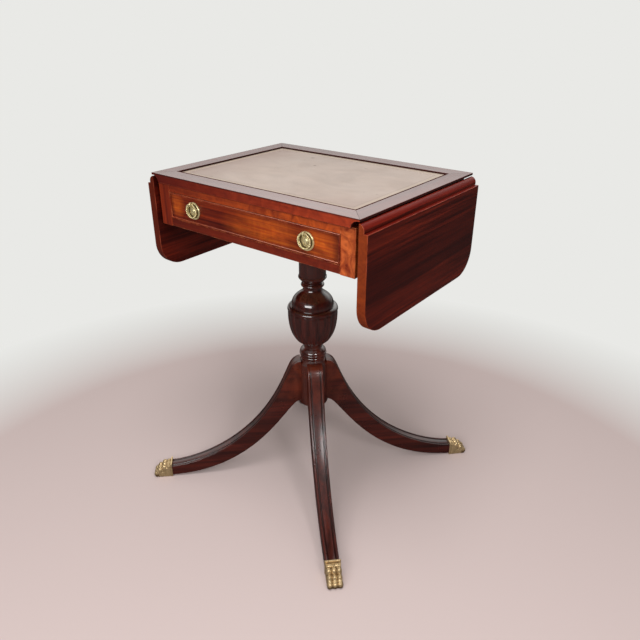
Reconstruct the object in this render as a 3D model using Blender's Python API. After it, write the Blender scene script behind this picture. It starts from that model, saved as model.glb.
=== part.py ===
# A drop-leaf pedestal table with one fitted drawer, as an assembly of separate pieces.
# Metres, +Z up. The origin is on the floor under the column; the drawer front faces -Y.

import math

import bmesh
import bpy
from mathutils import Vector

MM = 0.001

# Fits shared by the whole table
FIT = 0.3 * MM
TABLE_HEIGHT = 700 * MM

# Top
TOP_WIDTH = 487.6 * MM
TOP_DEPTH = 378.2 * MM
TOP_THICKNESS = 17 * MM
BORDER_SIDE = 35 * MM
BORDER_FRONT = 37.8 * MM
LEATHER_RECESS = 2.5 * MM
LEATHER_THICKNESS = 1.5 * MM
PANEL_THICKNESS = 7 * MM
LEDGE_WIDTH = 6 * MM

# Rule joint and leaves
PIVOT_INSET = 3.3 * MM
PIVOT_DROP = 18 * MM
COVE_RADIUS = 13.8 * MM
OVOLO_CLEARANCE = 2.4 * MM
LIP_GAP = 0.4 * MM
LEAF_THICKNESS = 17 * MM
LEAF_DROP = 179.5 * MM
LEAF_CORNER = 50 * MM

# Leaf hinges
HINGE_INSET = 69.1 * MM
HINGE_LENGTH = 33 * MM
HINGE_PLATE = 1.7 * MM
TOP_FLAP = 30 * MM
LEAF_FLAP = 38 * MM
KNUCKLE_RADIUS = 2.6 * MM
KNUCKLE_RELIEF = 0.5 * MM
HINGE_PIN_RADIUS = 1.2 * MM

# Case
LEAF_CLEARANCE = 8.5 * MM
CASE_SETBACK = 6 * MM
STILE_WIDTH = 29 * MM
STILE_DEPTH = 20 * MM
TOP_RAIL_HEIGHT = 15 * MM
BOTTOM_RAIL_HEIGHT = 16.5 * MM
RAIL_RISE = 0.5 * MM
DRAWER_OPENING = 51.2 * MM
BACK_THICKNESS = 12 * MM
BOTTOM_BOARD = 8 * MM
RUNNER_WIDTH = 20 * MM
CLEAT_WIDTH = 180 * MM
CLEAT_DEPTH = 150 * MM
CLEAT_THICKNESS = 22 * MM

# Swing brackets that hold the raised leaves
BRACKET_LENGTH = 150 * MM
BRACKET_HEIGHT = 44 * MM
BRACKET_THICKNESS = 14 * MM
BRACKET_END_GAP = 1 * MM
BRACKET_NOTCH = 9 * MM
BRACKET_PIN_RADIUS = 2.5 * MM
BRACKET_PIN_SEAT = 12 * MM

# Drawer
DRAWER_GAP = 0.5 * MM
DRAWER_SIDE_GAP = 0.8 * MM
DRAWER_FRONT_THICKNESS = 18 * MM
DRAWER_SIDE_THICKNESS = 8 * MM
DRAWER_SIDE_DROP = 4.9 * MM
DRAWER_BACK_INSET = 4 * MM
DRAWER_BACK_DROP = 4 * MM
DRAWER_BOTTOM_THICKNESS = 4 * MM
GROOVE_RISE = 5 * MM
GROOVE_DEPTH = 3 * MM
FELT_THICKNESS = 2 * MM
COMPARTMENTS = 3
DIVIDER_THICKNESS = 5 * MM
DIVIDER_DROP = 6 * MM
COCKBEAD_WIDTH = 3 * MM
COCKBEAD_PROUD = 1.5 * MM
COCKBEAD_DEPTH = 7 * MM

# Ring pulls
PULL_INSET = 68 * MM
PLATE_RADIUS = 17.8 * MM
PLATE_RIM = 2.8 * MM
PLATE_RIM_WIDTH = 3.4 * MM
PLATE_DISH = 1.4 * MM
BOSS_RADIUS = 4.5 * MM
BOSS_HEIGHT = 4.5 * MM
BOSS_SHOULDER = 0.9 * MM
BOSS_TIP_RADIUS = 1.8 * MM
RING_RADIUS = 13.5 * MM
RING_WIRE = 2 * MM
EYE_RADIUS = 4.3 * MM
EYE_REACH = 7.4 * MM
EYE_CLEARANCE = 0.8 * MM
SHANK_RADIUS = 2 * MM
SHANK_DEPTH = 14 * MM

# Column, from the hub upwards
HUB_BOTTOM = 176 * MM
HUB_RADIUS = 33.3 * MM
HUB_HEIGHT = 108.5 * MM
HUB_CHAMFER = 3 * MM
HUB_CONE_HEIGHT = 9 * MM
COLLAR_RADIUS = 25.5 * MM
LOWER_RING_RADIUS = 28 * MM
UPPER_RING_RADIUS = 29.6 * MM
LOWER_RING_HEIGHT = 8.8 * MM
UPPER_RING_HEIGHT = 7.7 * MM
CUSHION_RADIUS = 28.6 * MM
CUSHION_HEIGHT = 10.5 * MM
FOOT_NECK_RADIUS = 20 * MM
FOOT_NECK_HEIGHT = 8.5 * MM
URN_RADIUS = 53.6 * MM
URN_HEIGHT = 83 * MM
URN_FOOT_RADIUS = 22 * MM
URN_LOBES = 18
LOBE_DEPTH = 3 * MM
LOBE_FADE = 0.2
RIM_HEIGHT = 8.5 * MM
RIM_PROUD = 0.5 * MM
RIM_LEDGE_RADIUS = 46 * MM
DOME_RADIUS = 45.2 * MM
DOME_HEIGHT = 39 * MM
NECK_RADIUS = 19.6 * MM
NECK_HEIGHT = 4 * MM
RING_BEAD_RADIUS = 24.6 * MM
RING_BEAD_HEIGHT = 8.5 * MM
UPPER_NECK_HEIGHT = 1 * MM
CUP_RADIUS = 29.8 * MM
CUP_HEIGHT = 11.5 * MM
CUP_SWELL = 0.85
CUP_LIP = 3.5 * MM
SHAFT_RADIUS = 28.2 * MM
CAPITAL_RADIUS = 40 * MM
CAPITAL_HEIGHT = 12 * MM
TENON_RADIUS = 18 * MM
TENON_END_GAP = 2 * MM

# Reach of the turned curves' handles, out and up from a point
CUSHION_EDGE_HANDLE = Vector((-0.2, 3.5)) * MM
CUSHION_NECK_HANDLE = Vector((4, -2.5)) * MM
URN_FOOT_HANDLE = Vector((7.2, 7.8)) * MM
URN_EDGE_HANDLE = Vector((0, -70)) * MM
DOME_EDGE_HANDLE = Vector((0.7, 25.4)) * MM
DOME_NECK_HANDLE = Vector((2.8, -12.1)) * MM

# Legs
FOOT_REACH = 376.5 * MM
LEG_THICKNESS = 34 * MM
LEG_TOE_THICKNESS = 28 * MM
LEG_SHOULDER_RADIUS = 30 * MM
LEG_SHOULDER_RISE = 6.5 * MM
LEG_KNEE_RADIUS = 73.5 * MM
LEG_KNEE_DROP = 61.5 * MM
LEG_KNEE_SLOPE = 2.15
LEG_ROOT_RISE = 16 * MM
LEG_UNDERCUT_RADIUS = 40 * MM
LEG_UNDERCUT_DROP = 5.5 * MM
LEG_HEEL_TOP = 29 * MM
LEG_HEEL_BOTTOM = 3 * MM

# Reach of the leg curves' handles: along the knee's slope, or out and up from a point
LEG_SHOULDER_HANDLE = Vector((22, -5.5)) * MM
LEG_KNEE_HANDLE_IN = 25 * MM
LEG_KNEE_HANDLE_OUT = 79 * MM
LEG_HEEL_HANDLE = Vector((-26, -1)) * MM
LEG_UNDERCUT_HANDLE = Vector((34, -30)) * MM
LEG_SOLE_HANDLE = Vector((-190, 4.2)) * MM

# Leg tenons and paws
LEG_TENON_LENGTH = 14 * MM
LEG_TENON_SHOULDER = 4 * MM
PAW_LENGTH = 43 * MM
PAW_WIDTH = 32 * MM
PAW_HEIGHT = 34.5 * MM
PAW_TOES = 3
TOE_NOTCH = 1.7 * MM
PAW_STRIPS = 4 * PAW_TOES

# Levels and planes worked out from the sizes above
UNDERSIDE = TABLE_HEIGHT - TOP_THICKNESS
PIVOT_X = TOP_WIDTH / 2 - PIVOT_INSET
PIVOT_Z = TABLE_HEIGHT - PIVOT_DROP
LEAF_INNER = PIVOT_DROP - LEAF_THICKNESS
OVOLO_RADIUS = COVE_RADIUS - OVOLO_CLEARANCE
HINGE_SPREAD = TOP_DEPTH - 2 * HINGE_INSET
CASE_WIDTH = 2 * (PIVOT_X + LEAF_INNER - LEAF_CLEARANCE)
CASE_TOP = UNDERSIDE - FIT
OPENING_TOP = CASE_TOP - TOP_RAIL_HEIGHT
OPENING_BOTTOM = OPENING_TOP - DRAWER_OPENING
RAIL_BOTTOM = OPENING_BOTTOM - BOTTOM_RAIL_HEIGHT
CASE_BOTTOM = RAIL_BOTTOM - RAIL_RISE
CASE_FRONT = -TOP_DEPTH / 2 + CASE_SETBACK
CASE_BACK = TOP_DEPTH / 2 - CASE_SETBACK
CASE_INNER = CASE_WIDTH / 2 - STILE_WIDTH
PULL_SPREAD = 2 * (CASE_INNER - PULL_INSET)
INNER_FRONT = CASE_FRONT + STILE_DEPTH + FIT
INNER_BACK = CASE_BACK - BACK_THICKNESS - FIT
SIDE_TOP = UNDERSIDE - HINGE_PLATE - 3 * FIT
BOARD_TOP = RAIL_BOTTOM + BOTTOM_BOARD
DRAWER_SIDE_TOP = OPENING_TOP - DRAWER_SIDE_DROP
CLEAT_TOP = RAIL_BOTTOM - FIT
COLUMN_TOP = CLEAT_TOP - CLEAT_THICKNESS - FIT
HUB_TOP = HUB_BOTTOM + HUB_HEIGHT
LEG_TOP = HUB_TOP + LEG_SHOULDER_RISE
LEG_ROOT = HUB_BOTTOM + LEG_ROOT_RISE
HEEL = FOOT_REACH - PAW_LENGTH

SIDES = (("left", -1), ("right", 1))
CORNERS = (("front_left", -1, -1), ("front_right", 1, -1), ("back_left", -1, 1), ("back_right", 1, 1))

# Facets round the curved pieces
COLUMN_STEPS = 3 * URN_LOBES
COVE_STEPS = 44
OVOLO_STEPS = 14
CORNER_STEPS = 12
PIN_STEPS = 12
KNUCKLE_STEPS = 14
SOCKET_STEPS = 24
RING_STEPS = 28
WIRE_STEPS = 8
EYE_STEPS = (14, 9)
KNEE_STEPS = 8
SWEEP_STEPS = 12
CUSHION_STEPS = 5
URN_STEPS = 10
DOME_STEPS = 8
MOULDING_STEPS = 4
SHARP_ANGLE = math.radians(35)
MERGE_DISTANCE = 0.01 * MM


def clear_scene():
    for item in list(bpy.data.objects):
        bpy.data.objects.remove(item)


def finish(name, colour, roughness, metallic=0.0):
    material = bpy.data.materials.new(name)
    material.use_nodes = True
    shader = material.node_tree.nodes["Principled BSDF"]
    shader.inputs["Base Color"].default_value = (*colour, 1.0)
    shader.inputs["Roughness"].default_value = roughness
    shader.inputs["Metallic"].default_value = metallic
    return material


# Placing: a mesh is drawn in world coordinates and hung on its carrier, if it has one
def mesh_of(name, form, smooth=False):
    bmesh.ops.remove_doubles(form, verts=form.verts, dist=MERGE_DISTANCE)
    bmesh.ops.recalc_face_normals(form, faces=form.faces)
    mesh = bpy.data.meshes.new(name)
    form.to_mesh(mesh)
    form.free()
    if smooth:
        mesh.shade_smooth()
        mesh.set_sharp_from_angle(angle=SHARP_ANGLE)
    return mesh


def place(name, form, material, carrier=None, origin=None, smooth=False):
    home = Vector(origin) if origin else Vector((0, 0, 0))
    if carrier:
        home = carrier.location.copy()
    bmesh.ops.translate(form, verts=form.verts, vec=-home)
    piece = bpy.data.objects.new(name, mesh_of(name, form, smooth))
    piece.data.materials.append(material)
    bpy.context.collection.objects.link(piece)
    if carrier:
        piece.parent = carrier
    else:
        piece.location = home
    return piece


def carrier_at(name, location):
    carrier = bpy.data.objects.new(name, None)
    carrier.location = location
    bpy.context.collection.objects.link(carrier)
    return carrier


def shape_with(piece, form, operation="DIFFERENCE"):
    name = f"{piece.name}_{operation.lower()}_{len(piece.modifiers)}"
    helper = bpy.data.objects.new(name, mesh_of(name, form))
    bpy.context.collection.objects.link(helper)
    helper.hide_render = True
    helper.display_type = "WIRE"
    modifier = piece.modifiers.new(operation.lower(), "BOOLEAN")
    modifier.operation = operation
    modifier.solver = "EXACT"
    modifier.object = helper


# Shapes
def block(low, high):
    form = bmesh.new()
    bmesh.ops.create_cube(form, size=1)
    low = Vector(low)
    high = Vector(high)
    size = Vector((abs(high[i] - low[i]) for i in range(3)))
    bmesh.ops.scale(form, verts=form.verts, vec=size)
    bmesh.ops.translate(form, verts=form.verts, vec=(low + high) / 2)
    return form


def prism(outline, along, start, end):
    # The outline's two numbers are the two axes that are left, in the order X, Y, Z
    form = bmesh.new()
    corners = []
    for first, second in outline:
        place_of = {"X": (start, first, second), "Y": (first, start, second), "Z": (first, second, start)}
        corners.append(form.verts.new(place_of[along]))
    base = form.faces.new(corners)
    swept = bmesh.ops.extrude_face_region(form, geom=[base])
    moved = [item for item in swept["geom"] if isinstance(item, bmesh.types.BMVert)]
    travel = Vector((0, 0, 0))
    travel["XYZ".index(along)] = end - start
    bmesh.ops.translate(form, verts=moved, vec=travel)
    return form


def arc(centre, radius, start, end, steps):
    points = []
    for step in range(steps + 1):
        angle = start + (end - start) * step / steps
        points.append((centre[0] + radius * math.cos(angle), centre[1] + radius * math.sin(angle)))
    return points


def rod(along, centre, radius, start, end, steps=PIN_STEPS):
    return prism(arc(centre, radius, 0, 2 * math.pi, steps)[:-1], along, start, end)


def curve(first, first_pull, last_pull, last, steps):
    points = []
    for step in range(steps + 1):
        t = step / steps
        s = 1 - t
        point = s**3 * first + 3 * s * s * t * first_pull + 3 * s * t * t * last_pull + t**3 * last
        points.append((point[0], point[1]))
    return points


def lathe(rings, steps, lobes=0):
    # Each ring is a height, a radius and how deep the grooves between the lobes are cut
    form = bmesh.new()
    rows = []
    for height, radius, depth in rings:
        row = []
        for step in range(steps):
            angle = 2 * math.pi * step / steps
            groove = depth if lobes and step % (steps // lobes) == 0 else 0
            reach = radius - groove
            row.append(form.verts.new((reach * math.cos(angle), reach * math.sin(angle), height)))
        rows.append(row)
    for lower, upper in zip(rows, rows[1:]):
        for step in range(steps):
            after = (step + 1) % steps
            form.faces.new((lower[step], lower[after], upper[after], upper[step]))
    form.faces.new(rows[0])
    form.faces.new(rows[-1])
    return form


# Top: mitred border with a ledge for the ground panel, and the leather on it
def border_outline(width, ledge_height):
    inner = width + LEDGE_WIDTH
    return [
        (0, TABLE_HEIGHT),
        (0, UNDERSIDE),
        (inner, UNDERSIDE),
        (inner, UNDERSIDE + ledge_height),
        (width, UNDERSIDE + ledge_height),
        (width, TABLE_HEIGHT),
    ]


def border_rail(length, width, other_width, edge, ledge_height, along, side):
    form = prism(border_outline(width, ledge_height), "Y", -1, 1)
    for corner in form.verts:
        inward = corner.co.x
        reach = length / 2 - inward * other_width / width - FIT
        position = math.copysign(reach, corner.co.y)
        across = side * (edge - inward)
        corner.co = (across, position, corner.co.z) if along == "Y" else (position, across, corner.co.z)
    return form


def cut_cove(piece):
    for _, side in SIDES:
        shape_with(piece, rod("Y", (side * PIVOT_X, PIVOT_Z), COVE_RADIUS, -TOP_DEPTH, TOP_DEPTH, COVE_STEPS))


def build_top(wood, panel_wood, leather):
    ledge_height = TOP_THICKNESS - LEATHER_RECESS - LEATHER_THICKNESS - PANEL_THICKNESS - 2 * FIT
    for name, side in SIDES:
        form = border_rail(TOP_DEPTH, BORDER_SIDE, BORDER_FRONT, TOP_WIDTH / 2, ledge_height, "Y", side)
        cut_cove(place(f"top_rail_{name}", form, wood))
    for name, side in (("front", -1), ("back", 1)):
        form = border_rail(TOP_WIDTH, BORDER_FRONT, BORDER_SIDE, TOP_DEPTH / 2, ledge_height, "X", side)
        cut_cove(place(f"top_rail_{name}", form, wood))
    reach_x = TOP_WIDTH / 2 - BORDER_SIDE - FIT
    reach_y = TOP_DEPTH / 2 - BORDER_FRONT - FIT
    panel_low = UNDERSIDE + ledge_height + FIT
    panel_high = panel_low + PANEL_THICKNESS
    panel = block((-reach_x, -reach_y, panel_low), (reach_x, reach_y, panel_high))
    place("top_panel", panel, panel_wood)
    leather_low = panel_high + FIT
    leather_high = leather_low + LEATHER_THICKNESS
    inset = block((-reach_x, -reach_y, leather_low), (reach_x, reach_y, leather_high))
    place("leather_inset", inset, leather)


# Leaves: ovolo and fillet about the hinge pin, round lower corners
def leaf_section(side):
    inner_angle = math.acos(LEAF_INNER / OVOLO_RADIUS)
    fillet = PIVOT_INSET + LIP_GAP
    outer_angle = -math.asin(fillet / OVOLO_RADIUS)
    points = [(LEAF_INNER, -2 * LEAF_DROP)]
    points += arc((0, 0), OVOLO_RADIUS, inner_angle, outer_angle, OVOLO_STEPS)
    points += [(PIVOT_DROP, -fillet), (PIVOT_DROP, -2 * LEAF_DROP)]
    return [(side * (PIVOT_X + across), PIVOT_Z + rise) for across, rise in points]


def leaf_outline():
    half = TOP_DEPTH / 2
    bottom = PIVOT_Z - LEAF_DROP
    centre = (half - LEAF_CORNER, bottom + LEAF_CORNER)
    corner = arc(centre, LEAF_CORNER, 0, -math.pi / 2, CORNER_STEPS)
    right = [(half, TABLE_HEIGHT)] + corner
    return right + [(-across, rise) for across, rise in reversed(right)]


def build_leaf(name, side, carrier, wood):
    form = prism(leaf_section(side), "Y", -TOP_DEPTH, TOP_DEPTH)
    leaf = place(f"{name}_leaf", form, wood, carrier)
    shape_with(leaf, prism(leaf_outline(), "X", side * PIVOT_X, side * TOP_WIDTH), "INTERSECT")
    for _, middle in hinge_places():
        half = HINGE_LENGTH / 2 + KNUCKLE_RELIEF
        radius = KNUCKLE_RADIUS + KNUCKLE_RELIEF
        gain = rod("Y", (side * PIVOT_X, PIVOT_Z), radius, middle - half, middle + half, KNUCKLE_STEPS)
        shape_with(leaf, gain)


# Hinges: the middle knuckle belongs to the top plate, the outer two to the leaf plate
def hinge_places():
    return (("front", -HINGE_SPREAD / 2), ("back", HINGE_SPREAD / 2))


def knuckle_spans(middle):
    third = HINGE_LENGTH / 3
    return [(middle + (i - 1.5) * third + FIT / 2, middle + (i - 0.5) * third - FIT / 2) for i in range(3)]


def add_knuckle(plate, side, span, low, high):
    shape_with(plate, block((side * low[0], span[0], low[1]), (side * high[0], span[1], high[1])), "UNION")
    shape_with(plate, rod("Y", (side * PIVOT_X, PIVOT_Z), KNUCKLE_RADIUS, *span, KNUCKLE_STEPS), "UNION")


def bore_knuckles(plate, side, middle):
    radius = HINGE_PIN_RADIUS + FIT
    ends = (middle - HINGE_LENGTH, middle + HINGE_LENGTH)
    shape_with(plate, rod("Y", (side * PIVOT_X, PIVOT_Z), radius, *ends))


def build_hinge(name, side, end, middle, carrier, brass, steel):
    clear = KNUCKLE_RADIUS + KNUCKLE_RELIEF
    half = HINGE_LENGTH / 2
    spans = knuckle_spans(middle)
    plate_high = UNDERSIDE - FIT
    plate_low = plate_high - HINGE_PLATE
    flap_edge = PIVOT_X - clear
    form = block(
        (side * (flap_edge - TOP_FLAP), middle - half, plate_low),
        (side * flap_edge, middle + half, plate_high),
    )
    top_plate = place(f"{name}_{end}_hinge_top_plate", form, brass)
    low = (flap_edge - clear, min(plate_low, PIVOT_Z))
    high = (PIVOT_X, max(plate_high, PIVOT_Z))
    add_knuckle(top_plate, side, spans[1], low, high)
    bore_knuckles(top_plate, side, middle)
    plate_outer = PIVOT_X + LEAF_INNER - FIT
    plate_inner = plate_outer - HINGE_PLATE
    flap_top = PIVOT_Z - clear
    form = block(
        (side * plate_inner, middle - half, flap_top - LEAF_FLAP),
        (side * plate_outer, middle + half, flap_top),
    )
    leaf_plate = place(f"{name}_{end}_hinge_leaf_plate", form, brass, carrier)
    low = (min(plate_inner, PIVOT_X), flap_top - clear)
    high = (max(plate_outer, PIVOT_X), PIVOT_Z)
    for span in (spans[0], spans[2]):
        add_knuckle(leaf_plate, side, span, low, high)
    bore_knuckles(leaf_plate, side, middle)
    pin = rod("Y", (side * PIVOT_X, PIVOT_Z), HINGE_PIN_RADIUS, middle - half, middle + half)
    place(f"{name}_{end}_hinge_pin", pin, steel, smooth=True)


# Case
def build_case_front(wood):
    for name, side in SIDES:
        low = (side * CASE_INNER, CASE_FRONT, CASE_BOTTOM)
        high = (side * CASE_WIDTH / 2, CASE_FRONT + STILE_DEPTH, CASE_TOP)
        place(f"{name}_front_stile", block(low, high), wood)
    reach = CASE_INNER - FIT
    back = CASE_FRONT + STILE_DEPTH
    top_rail = block((-reach, CASE_FRONT, OPENING_TOP), (reach, back, CASE_TOP))
    place("top_front_rail", top_rail, wood)
    bottom_rail = block((-reach, CASE_FRONT, RAIL_BOTTOM), (reach, back, OPENING_BOTTOM))
    place("bottom_front_rail", bottom_rail, wood)


def build_case_body(wood, plain_wood):
    back_low = (-CASE_WIDTH / 2, INNER_BACK + FIT, CASE_BOTTOM)
    place("back_panel", block(back_low, (CASE_WIDTH / 2, CASE_BACK, CASE_TOP)), wood)
    reach = CASE_INNER - FIT
    board = block((-reach, INNER_FRONT, RAIL_BOTTOM), (reach, INNER_BACK, BOARD_TOP))
    place("case_bottom", board, plain_wood)
    for name, side in SIDES:
        low = (side * (reach - RUNNER_WIDTH), INNER_FRONT, BOARD_TOP + FIT)
        high = (side * reach, INNER_BACK, OPENING_BOTTOM)
        place(f"{name}_runner", block(low, high), plain_wood)
    low = (-CLEAT_WIDTH / 2, -CLEAT_DEPTH / 2, CLEAT_TOP - CLEAT_THICKNESS)
    cleat = place("column_cleat", block(low, (CLEAT_WIDTH / 2, CLEAT_DEPTH / 2, CLEAT_TOP)), plain_wood)
    socket_low = COLUMN_TOP - CLEAT_THICKNESS
    socket_high = CLEAT_TOP + CLEAT_THICKNESS
    socket = rod("Z", (0, 0), TENON_RADIUS + FIT, socket_low, socket_high, SOCKET_STEPS)
    shape_with(cleat, socket)


def build_side(name, side, wood, steel):
    bracket_top = UNDERSIDE - FIT
    bracket_bottom = bracket_top - BRACKET_HEIGHT
    bracket_middle = CASE_WIDTH / 2 - BRACKET_THICKNESS / 2
    half = BRACKET_LENGTH / 2
    pin_y = -half + BRACKET_THICKNESS / 2
    low = (side * CASE_INNER, INNER_FRONT, CASE_BOTTOM)
    board = place(f"{name}_side", block(low, (side * CASE_WIDTH / 2, INNER_BACK, SIDE_TOP)), wood)
    recess_low = (
        side * (CASE_WIDTH / 2 - BRACKET_THICKNESS - FIT),
        -half - BRACKET_END_GAP,
        bracket_bottom - FIT,
    )
    recess_high = (side * CASE_WIDTH, half + BRACKET_END_GAP, TABLE_HEIGHT)
    shape_with(board, block(recess_low, recess_high))
    seat = bracket_bottom - FIT - BRACKET_PIN_SEAT
    pin_place = (side * bracket_middle, pin_y)
    hole_radius = BRACKET_PIN_RADIUS + FIT
    shape_with(board, rod("Z", pin_place, hole_radius, seat, bracket_top))
    pin = rod("Z", pin_place, BRACKET_PIN_RADIUS, seat + FIT, bracket_top - FIT)
    place(f"{name}_bracket_pin", pin, steel, smooth=True)
    bracket = place(f"{name}_fly_bracket", bracket_form(side, bracket_middle, pin_y, half), wood)
    shape_with(bracket, rod("Z", pin_place, hole_radius, seat, TABLE_HEIGHT))


def bracket_form(side, middle, pin_y, half):
    thick = BRACKET_THICKNESS / 2
    outline = arc((middle, pin_y), thick, math.pi, 2 * math.pi, CORNER_STEPS)
    outline += [(middle + thick, half - BRACKET_NOTCH), (middle + thick - BRACKET_NOTCH, half)]
    outline += [(middle - thick, half)]
    top = UNDERSIDE - FIT
    return prism([(side * across, along) for across, along in outline], "Z", top - BRACKET_HEIGHT, top)


# Drawer
def drawer_front_form(back):
    reach = CASE_INNER - DRAWER_GAP
    low = OPENING_BOTTOM + DRAWER_GAP
    high = OPENING_TOP - DRAWER_GAP
    step = CASE_FRONT + COCKBEAD_DEPTH + FIT
    inset = COCKBEAD_WIDTH + FIT
    form = block((-reach, step, low), (reach, back, high))
    front_face = min(form.faces, key=lambda face: face.calc_center_median().y)
    bmesh.ops.inset_region(form, faces=[front_face], thickness=inset, use_even_offset=True)
    swept = bmesh.ops.extrude_face_region(form, geom=[front_face])
    moved = [item for item in swept["geom"] if isinstance(item, bmesh.types.BMVert)]
    bmesh.ops.translate(form, verts=moved, vec=(0, CASE_FRONT - step, 0))
    bmesh.ops.delete(form, geom=[front_face], context="FACES")
    return form


def build_drawer_front(carrier, wood, bead_wood):
    back = CASE_FRONT + DRAWER_FRONT_THICKNESS
    front = place("drawer_front", drawer_front_form(back), wood, carrier)
    for _, side in SIDES:
        centre = (side * PULL_SPREAD / 2, eye_height())
        hole_end = CASE_FRONT + SHANK_DEPTH + FIT
        shape_with(front, rod("Y", centre, SHANK_RADIUS + FIT, CASE_FRONT - SHANK_DEPTH, hole_end))
    reach = CASE_INNER - DRAWER_GAP
    low = OPENING_BOTTOM + DRAWER_GAP
    high = OPENING_TOP - DRAWER_GAP
    near = CASE_FRONT - COCKBEAD_PROUD
    far = CASE_FRONT + COCKBEAD_DEPTH
    bead = place("cockbead", block((-reach, near, low), (reach, far, high)), bead_wood, carrier)
    inner_low = (-reach + COCKBEAD_WIDTH, near - DRAWER_FRONT_THICKNESS, low + COCKBEAD_WIDTH)
    inner_high = (reach - COCKBEAD_WIDTH, back, high - COCKBEAD_WIDTH)
    shape_with(bead, block(inner_low, inner_high))


def drawer_side_section(side, outer, low):
    inner = outer - DRAWER_SIDE_THICKNESS
    groove_low = low + GROOVE_RISE
    groove_high = groove_low + DRAWER_BOTTOM_THICKNESS + 2 * FIT
    high = DRAWER_SIDE_TOP
    points = [
        (outer, low),
        (outer, high),
        (inner, high),
        (inner, groove_high),
        (inner + GROOVE_DEPTH, groove_high),
        (inner + GROOVE_DEPTH, groove_low),
        (inner, groove_low),
        (inner, low),
    ]
    return [(side * across, rise) for across, rise in points]


def build_drawer_box(carrier, wood, felt):
    outer = CASE_INNER - DRAWER_SIDE_GAP
    inner = outer - DRAWER_SIDE_THICKNESS
    low = OPENING_BOTTOM + FIT
    front = CASE_FRONT + DRAWER_FRONT_THICKNESS + FIT
    for name, side in SIDES:
        form = prism(drawer_side_section(side, outer, low), "Y", front, INNER_BACK)
        place(f"drawer_{name}_side", form, wood, carrier)
    back_far = INNER_BACK - DRAWER_BACK_INSET
    back_near = back_far - DRAWER_SIDE_THICKNESS
    floor_low = low + GROOVE_RISE + FIT
    floor_high = floor_low + DRAWER_BOTTOM_THICKNESS
    floor_reach = inner + GROOVE_DEPTH - FIT
    floor = block((-floor_reach, front, floor_low), (floor_reach, back_far, floor_high))
    place("drawer_bottom", floor, wood, carrier)
    reach = inner - FIT
    back_top = DRAWER_SIDE_TOP - DRAWER_BACK_DROP
    back = block((-reach, back_near, floor_high + FIT), (reach, back_far, back_top))
    place("drawer_back", back, wood, carrier)
    near = front + FIT
    far = back_near - FIT
    felt_low = floor_high + FIT
    felt_high = felt_low + FELT_THICKNESS
    place("felt_lining", block((-reach, near, felt_low), (reach, far, felt_high)), felt, carrier)
    for name, side in SIDES:
        middle = side * inner / COMPARTMENTS
        half = DIVIDER_THICKNESS / 2
        divider_low = (middle - half, near, felt_high + FIT)
        divider = block(divider_low, (middle + half, far, DRAWER_SIDE_TOP - DIVIDER_DROP))
        place(f"{name}_silver_divider", divider, wood, carrier)


# Ring pulls: the ring hangs in an eye near the top of a dished plate
def pull_height():
    return (OPENING_TOP + OPENING_BOTTOM) / 2


def eye_height():
    return pull_height() + RING_RADIUS


def pull_plate_form(middle):
    rings = [
        (0, PLATE_RADIUS, 0),
        (PLATE_RIM / 2, PLATE_RADIUS, 0),
        (PLATE_RIM, PLATE_RADIUS - PLATE_RIM_WIDTH / 2, 0),
        (PLATE_DISH, PLATE_RADIUS - PLATE_RIM_WIDTH, 0),
        (PLATE_DISH, BOSS_RADIUS, 0),
        (BOSS_HEIGHT - BOSS_SHOULDER, BOSS_RADIUS - BOSS_SHOULDER, 0),
        (BOSS_HEIGHT, BOSS_TIP_RADIUS, 0),
    ]
    form = lathe(rings, RING_STEPS)
    for corner in form.verts:
        across, rise, reach = corner.co
        corner.co = (middle + across, CASE_FRONT - FIT - reach, pull_height() + rise)
    return form


def ring_form(centre):
    form = bmesh.new()
    bead = bmesh.ops.create_circle(form, segments=WIRE_STEPS, radius=RING_WIRE)
    bmesh.ops.translate(form, verts=bead["verts"], vec=(RING_RADIUS, 0, 0))
    bmesh.ops.spin(
        form,
        geom=form.edges[:],
        cent=(0, 0, 0),
        axis=(0, 1, 0),
        angle=2 * math.pi,
        steps=RING_STEPS,
        use_merge=True,
    )
    bmesh.ops.translate(form, verts=form.verts, vec=centre)
    return form


def build_pull(name, side, carrier, brass):
    middle = side * PULL_SPREAD / 2
    eye = Vector((middle, CASE_FRONT - EYE_REACH, eye_height()))
    plate = place(f"{name}_pull_plate", pull_plate_form(middle), brass, carrier, smooth=True)
    hole = rod("Y", (middle, eye.z), SHANK_RADIUS + FIT, CASE_FRONT - EYE_REACH, CASE_FRONT)
    shape_with(plate, hole)
    form = bmesh.new()
    around, down = EYE_STEPS
    bmesh.ops.create_uvsphere(form, u_segments=around, v_segments=down, radius=EYE_RADIUS)
    bmesh.ops.translate(form, verts=form.verts, vec=eye)
    post = place(f"{name}_pull_post", form, brass, carrier, smooth=True)
    bore = RING_WIRE + EYE_CLEARANCE
    shank = rod("Y", (middle, eye.z), SHANK_RADIUS, eye.y + bore, CASE_FRONT + SHANK_DEPTH)
    shape_with(post, shank, "UNION")
    ends = (middle - 2 * EYE_RADIUS, middle + 2 * EYE_RADIUS)
    shape_with(post, rod("X", (eye.y, eye.z), bore, *ends, KNUCKLE_STEPS))
    ring = ring_form(eye - Vector((0, 0, RING_RADIUS)))
    swing = place(f"{name}_pull_ring", ring, brass, origin=eye, smooth=True)
    swing.parent = carrier
    swing.location = eye - carrier.location


# Column: turned mouldings from the hub up, the urn cut into lobes
def bead_rings(bottom, height, inner, outer, steps):
    rings = []
    for step in range(steps + 1):
        angle = math.pi * step / steps
        level = bottom + height / 2 - height / 2 * math.cos(angle)
        rings.append((level, inner + (outer - inner) * math.sin(angle), 0))
    return rings


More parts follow.
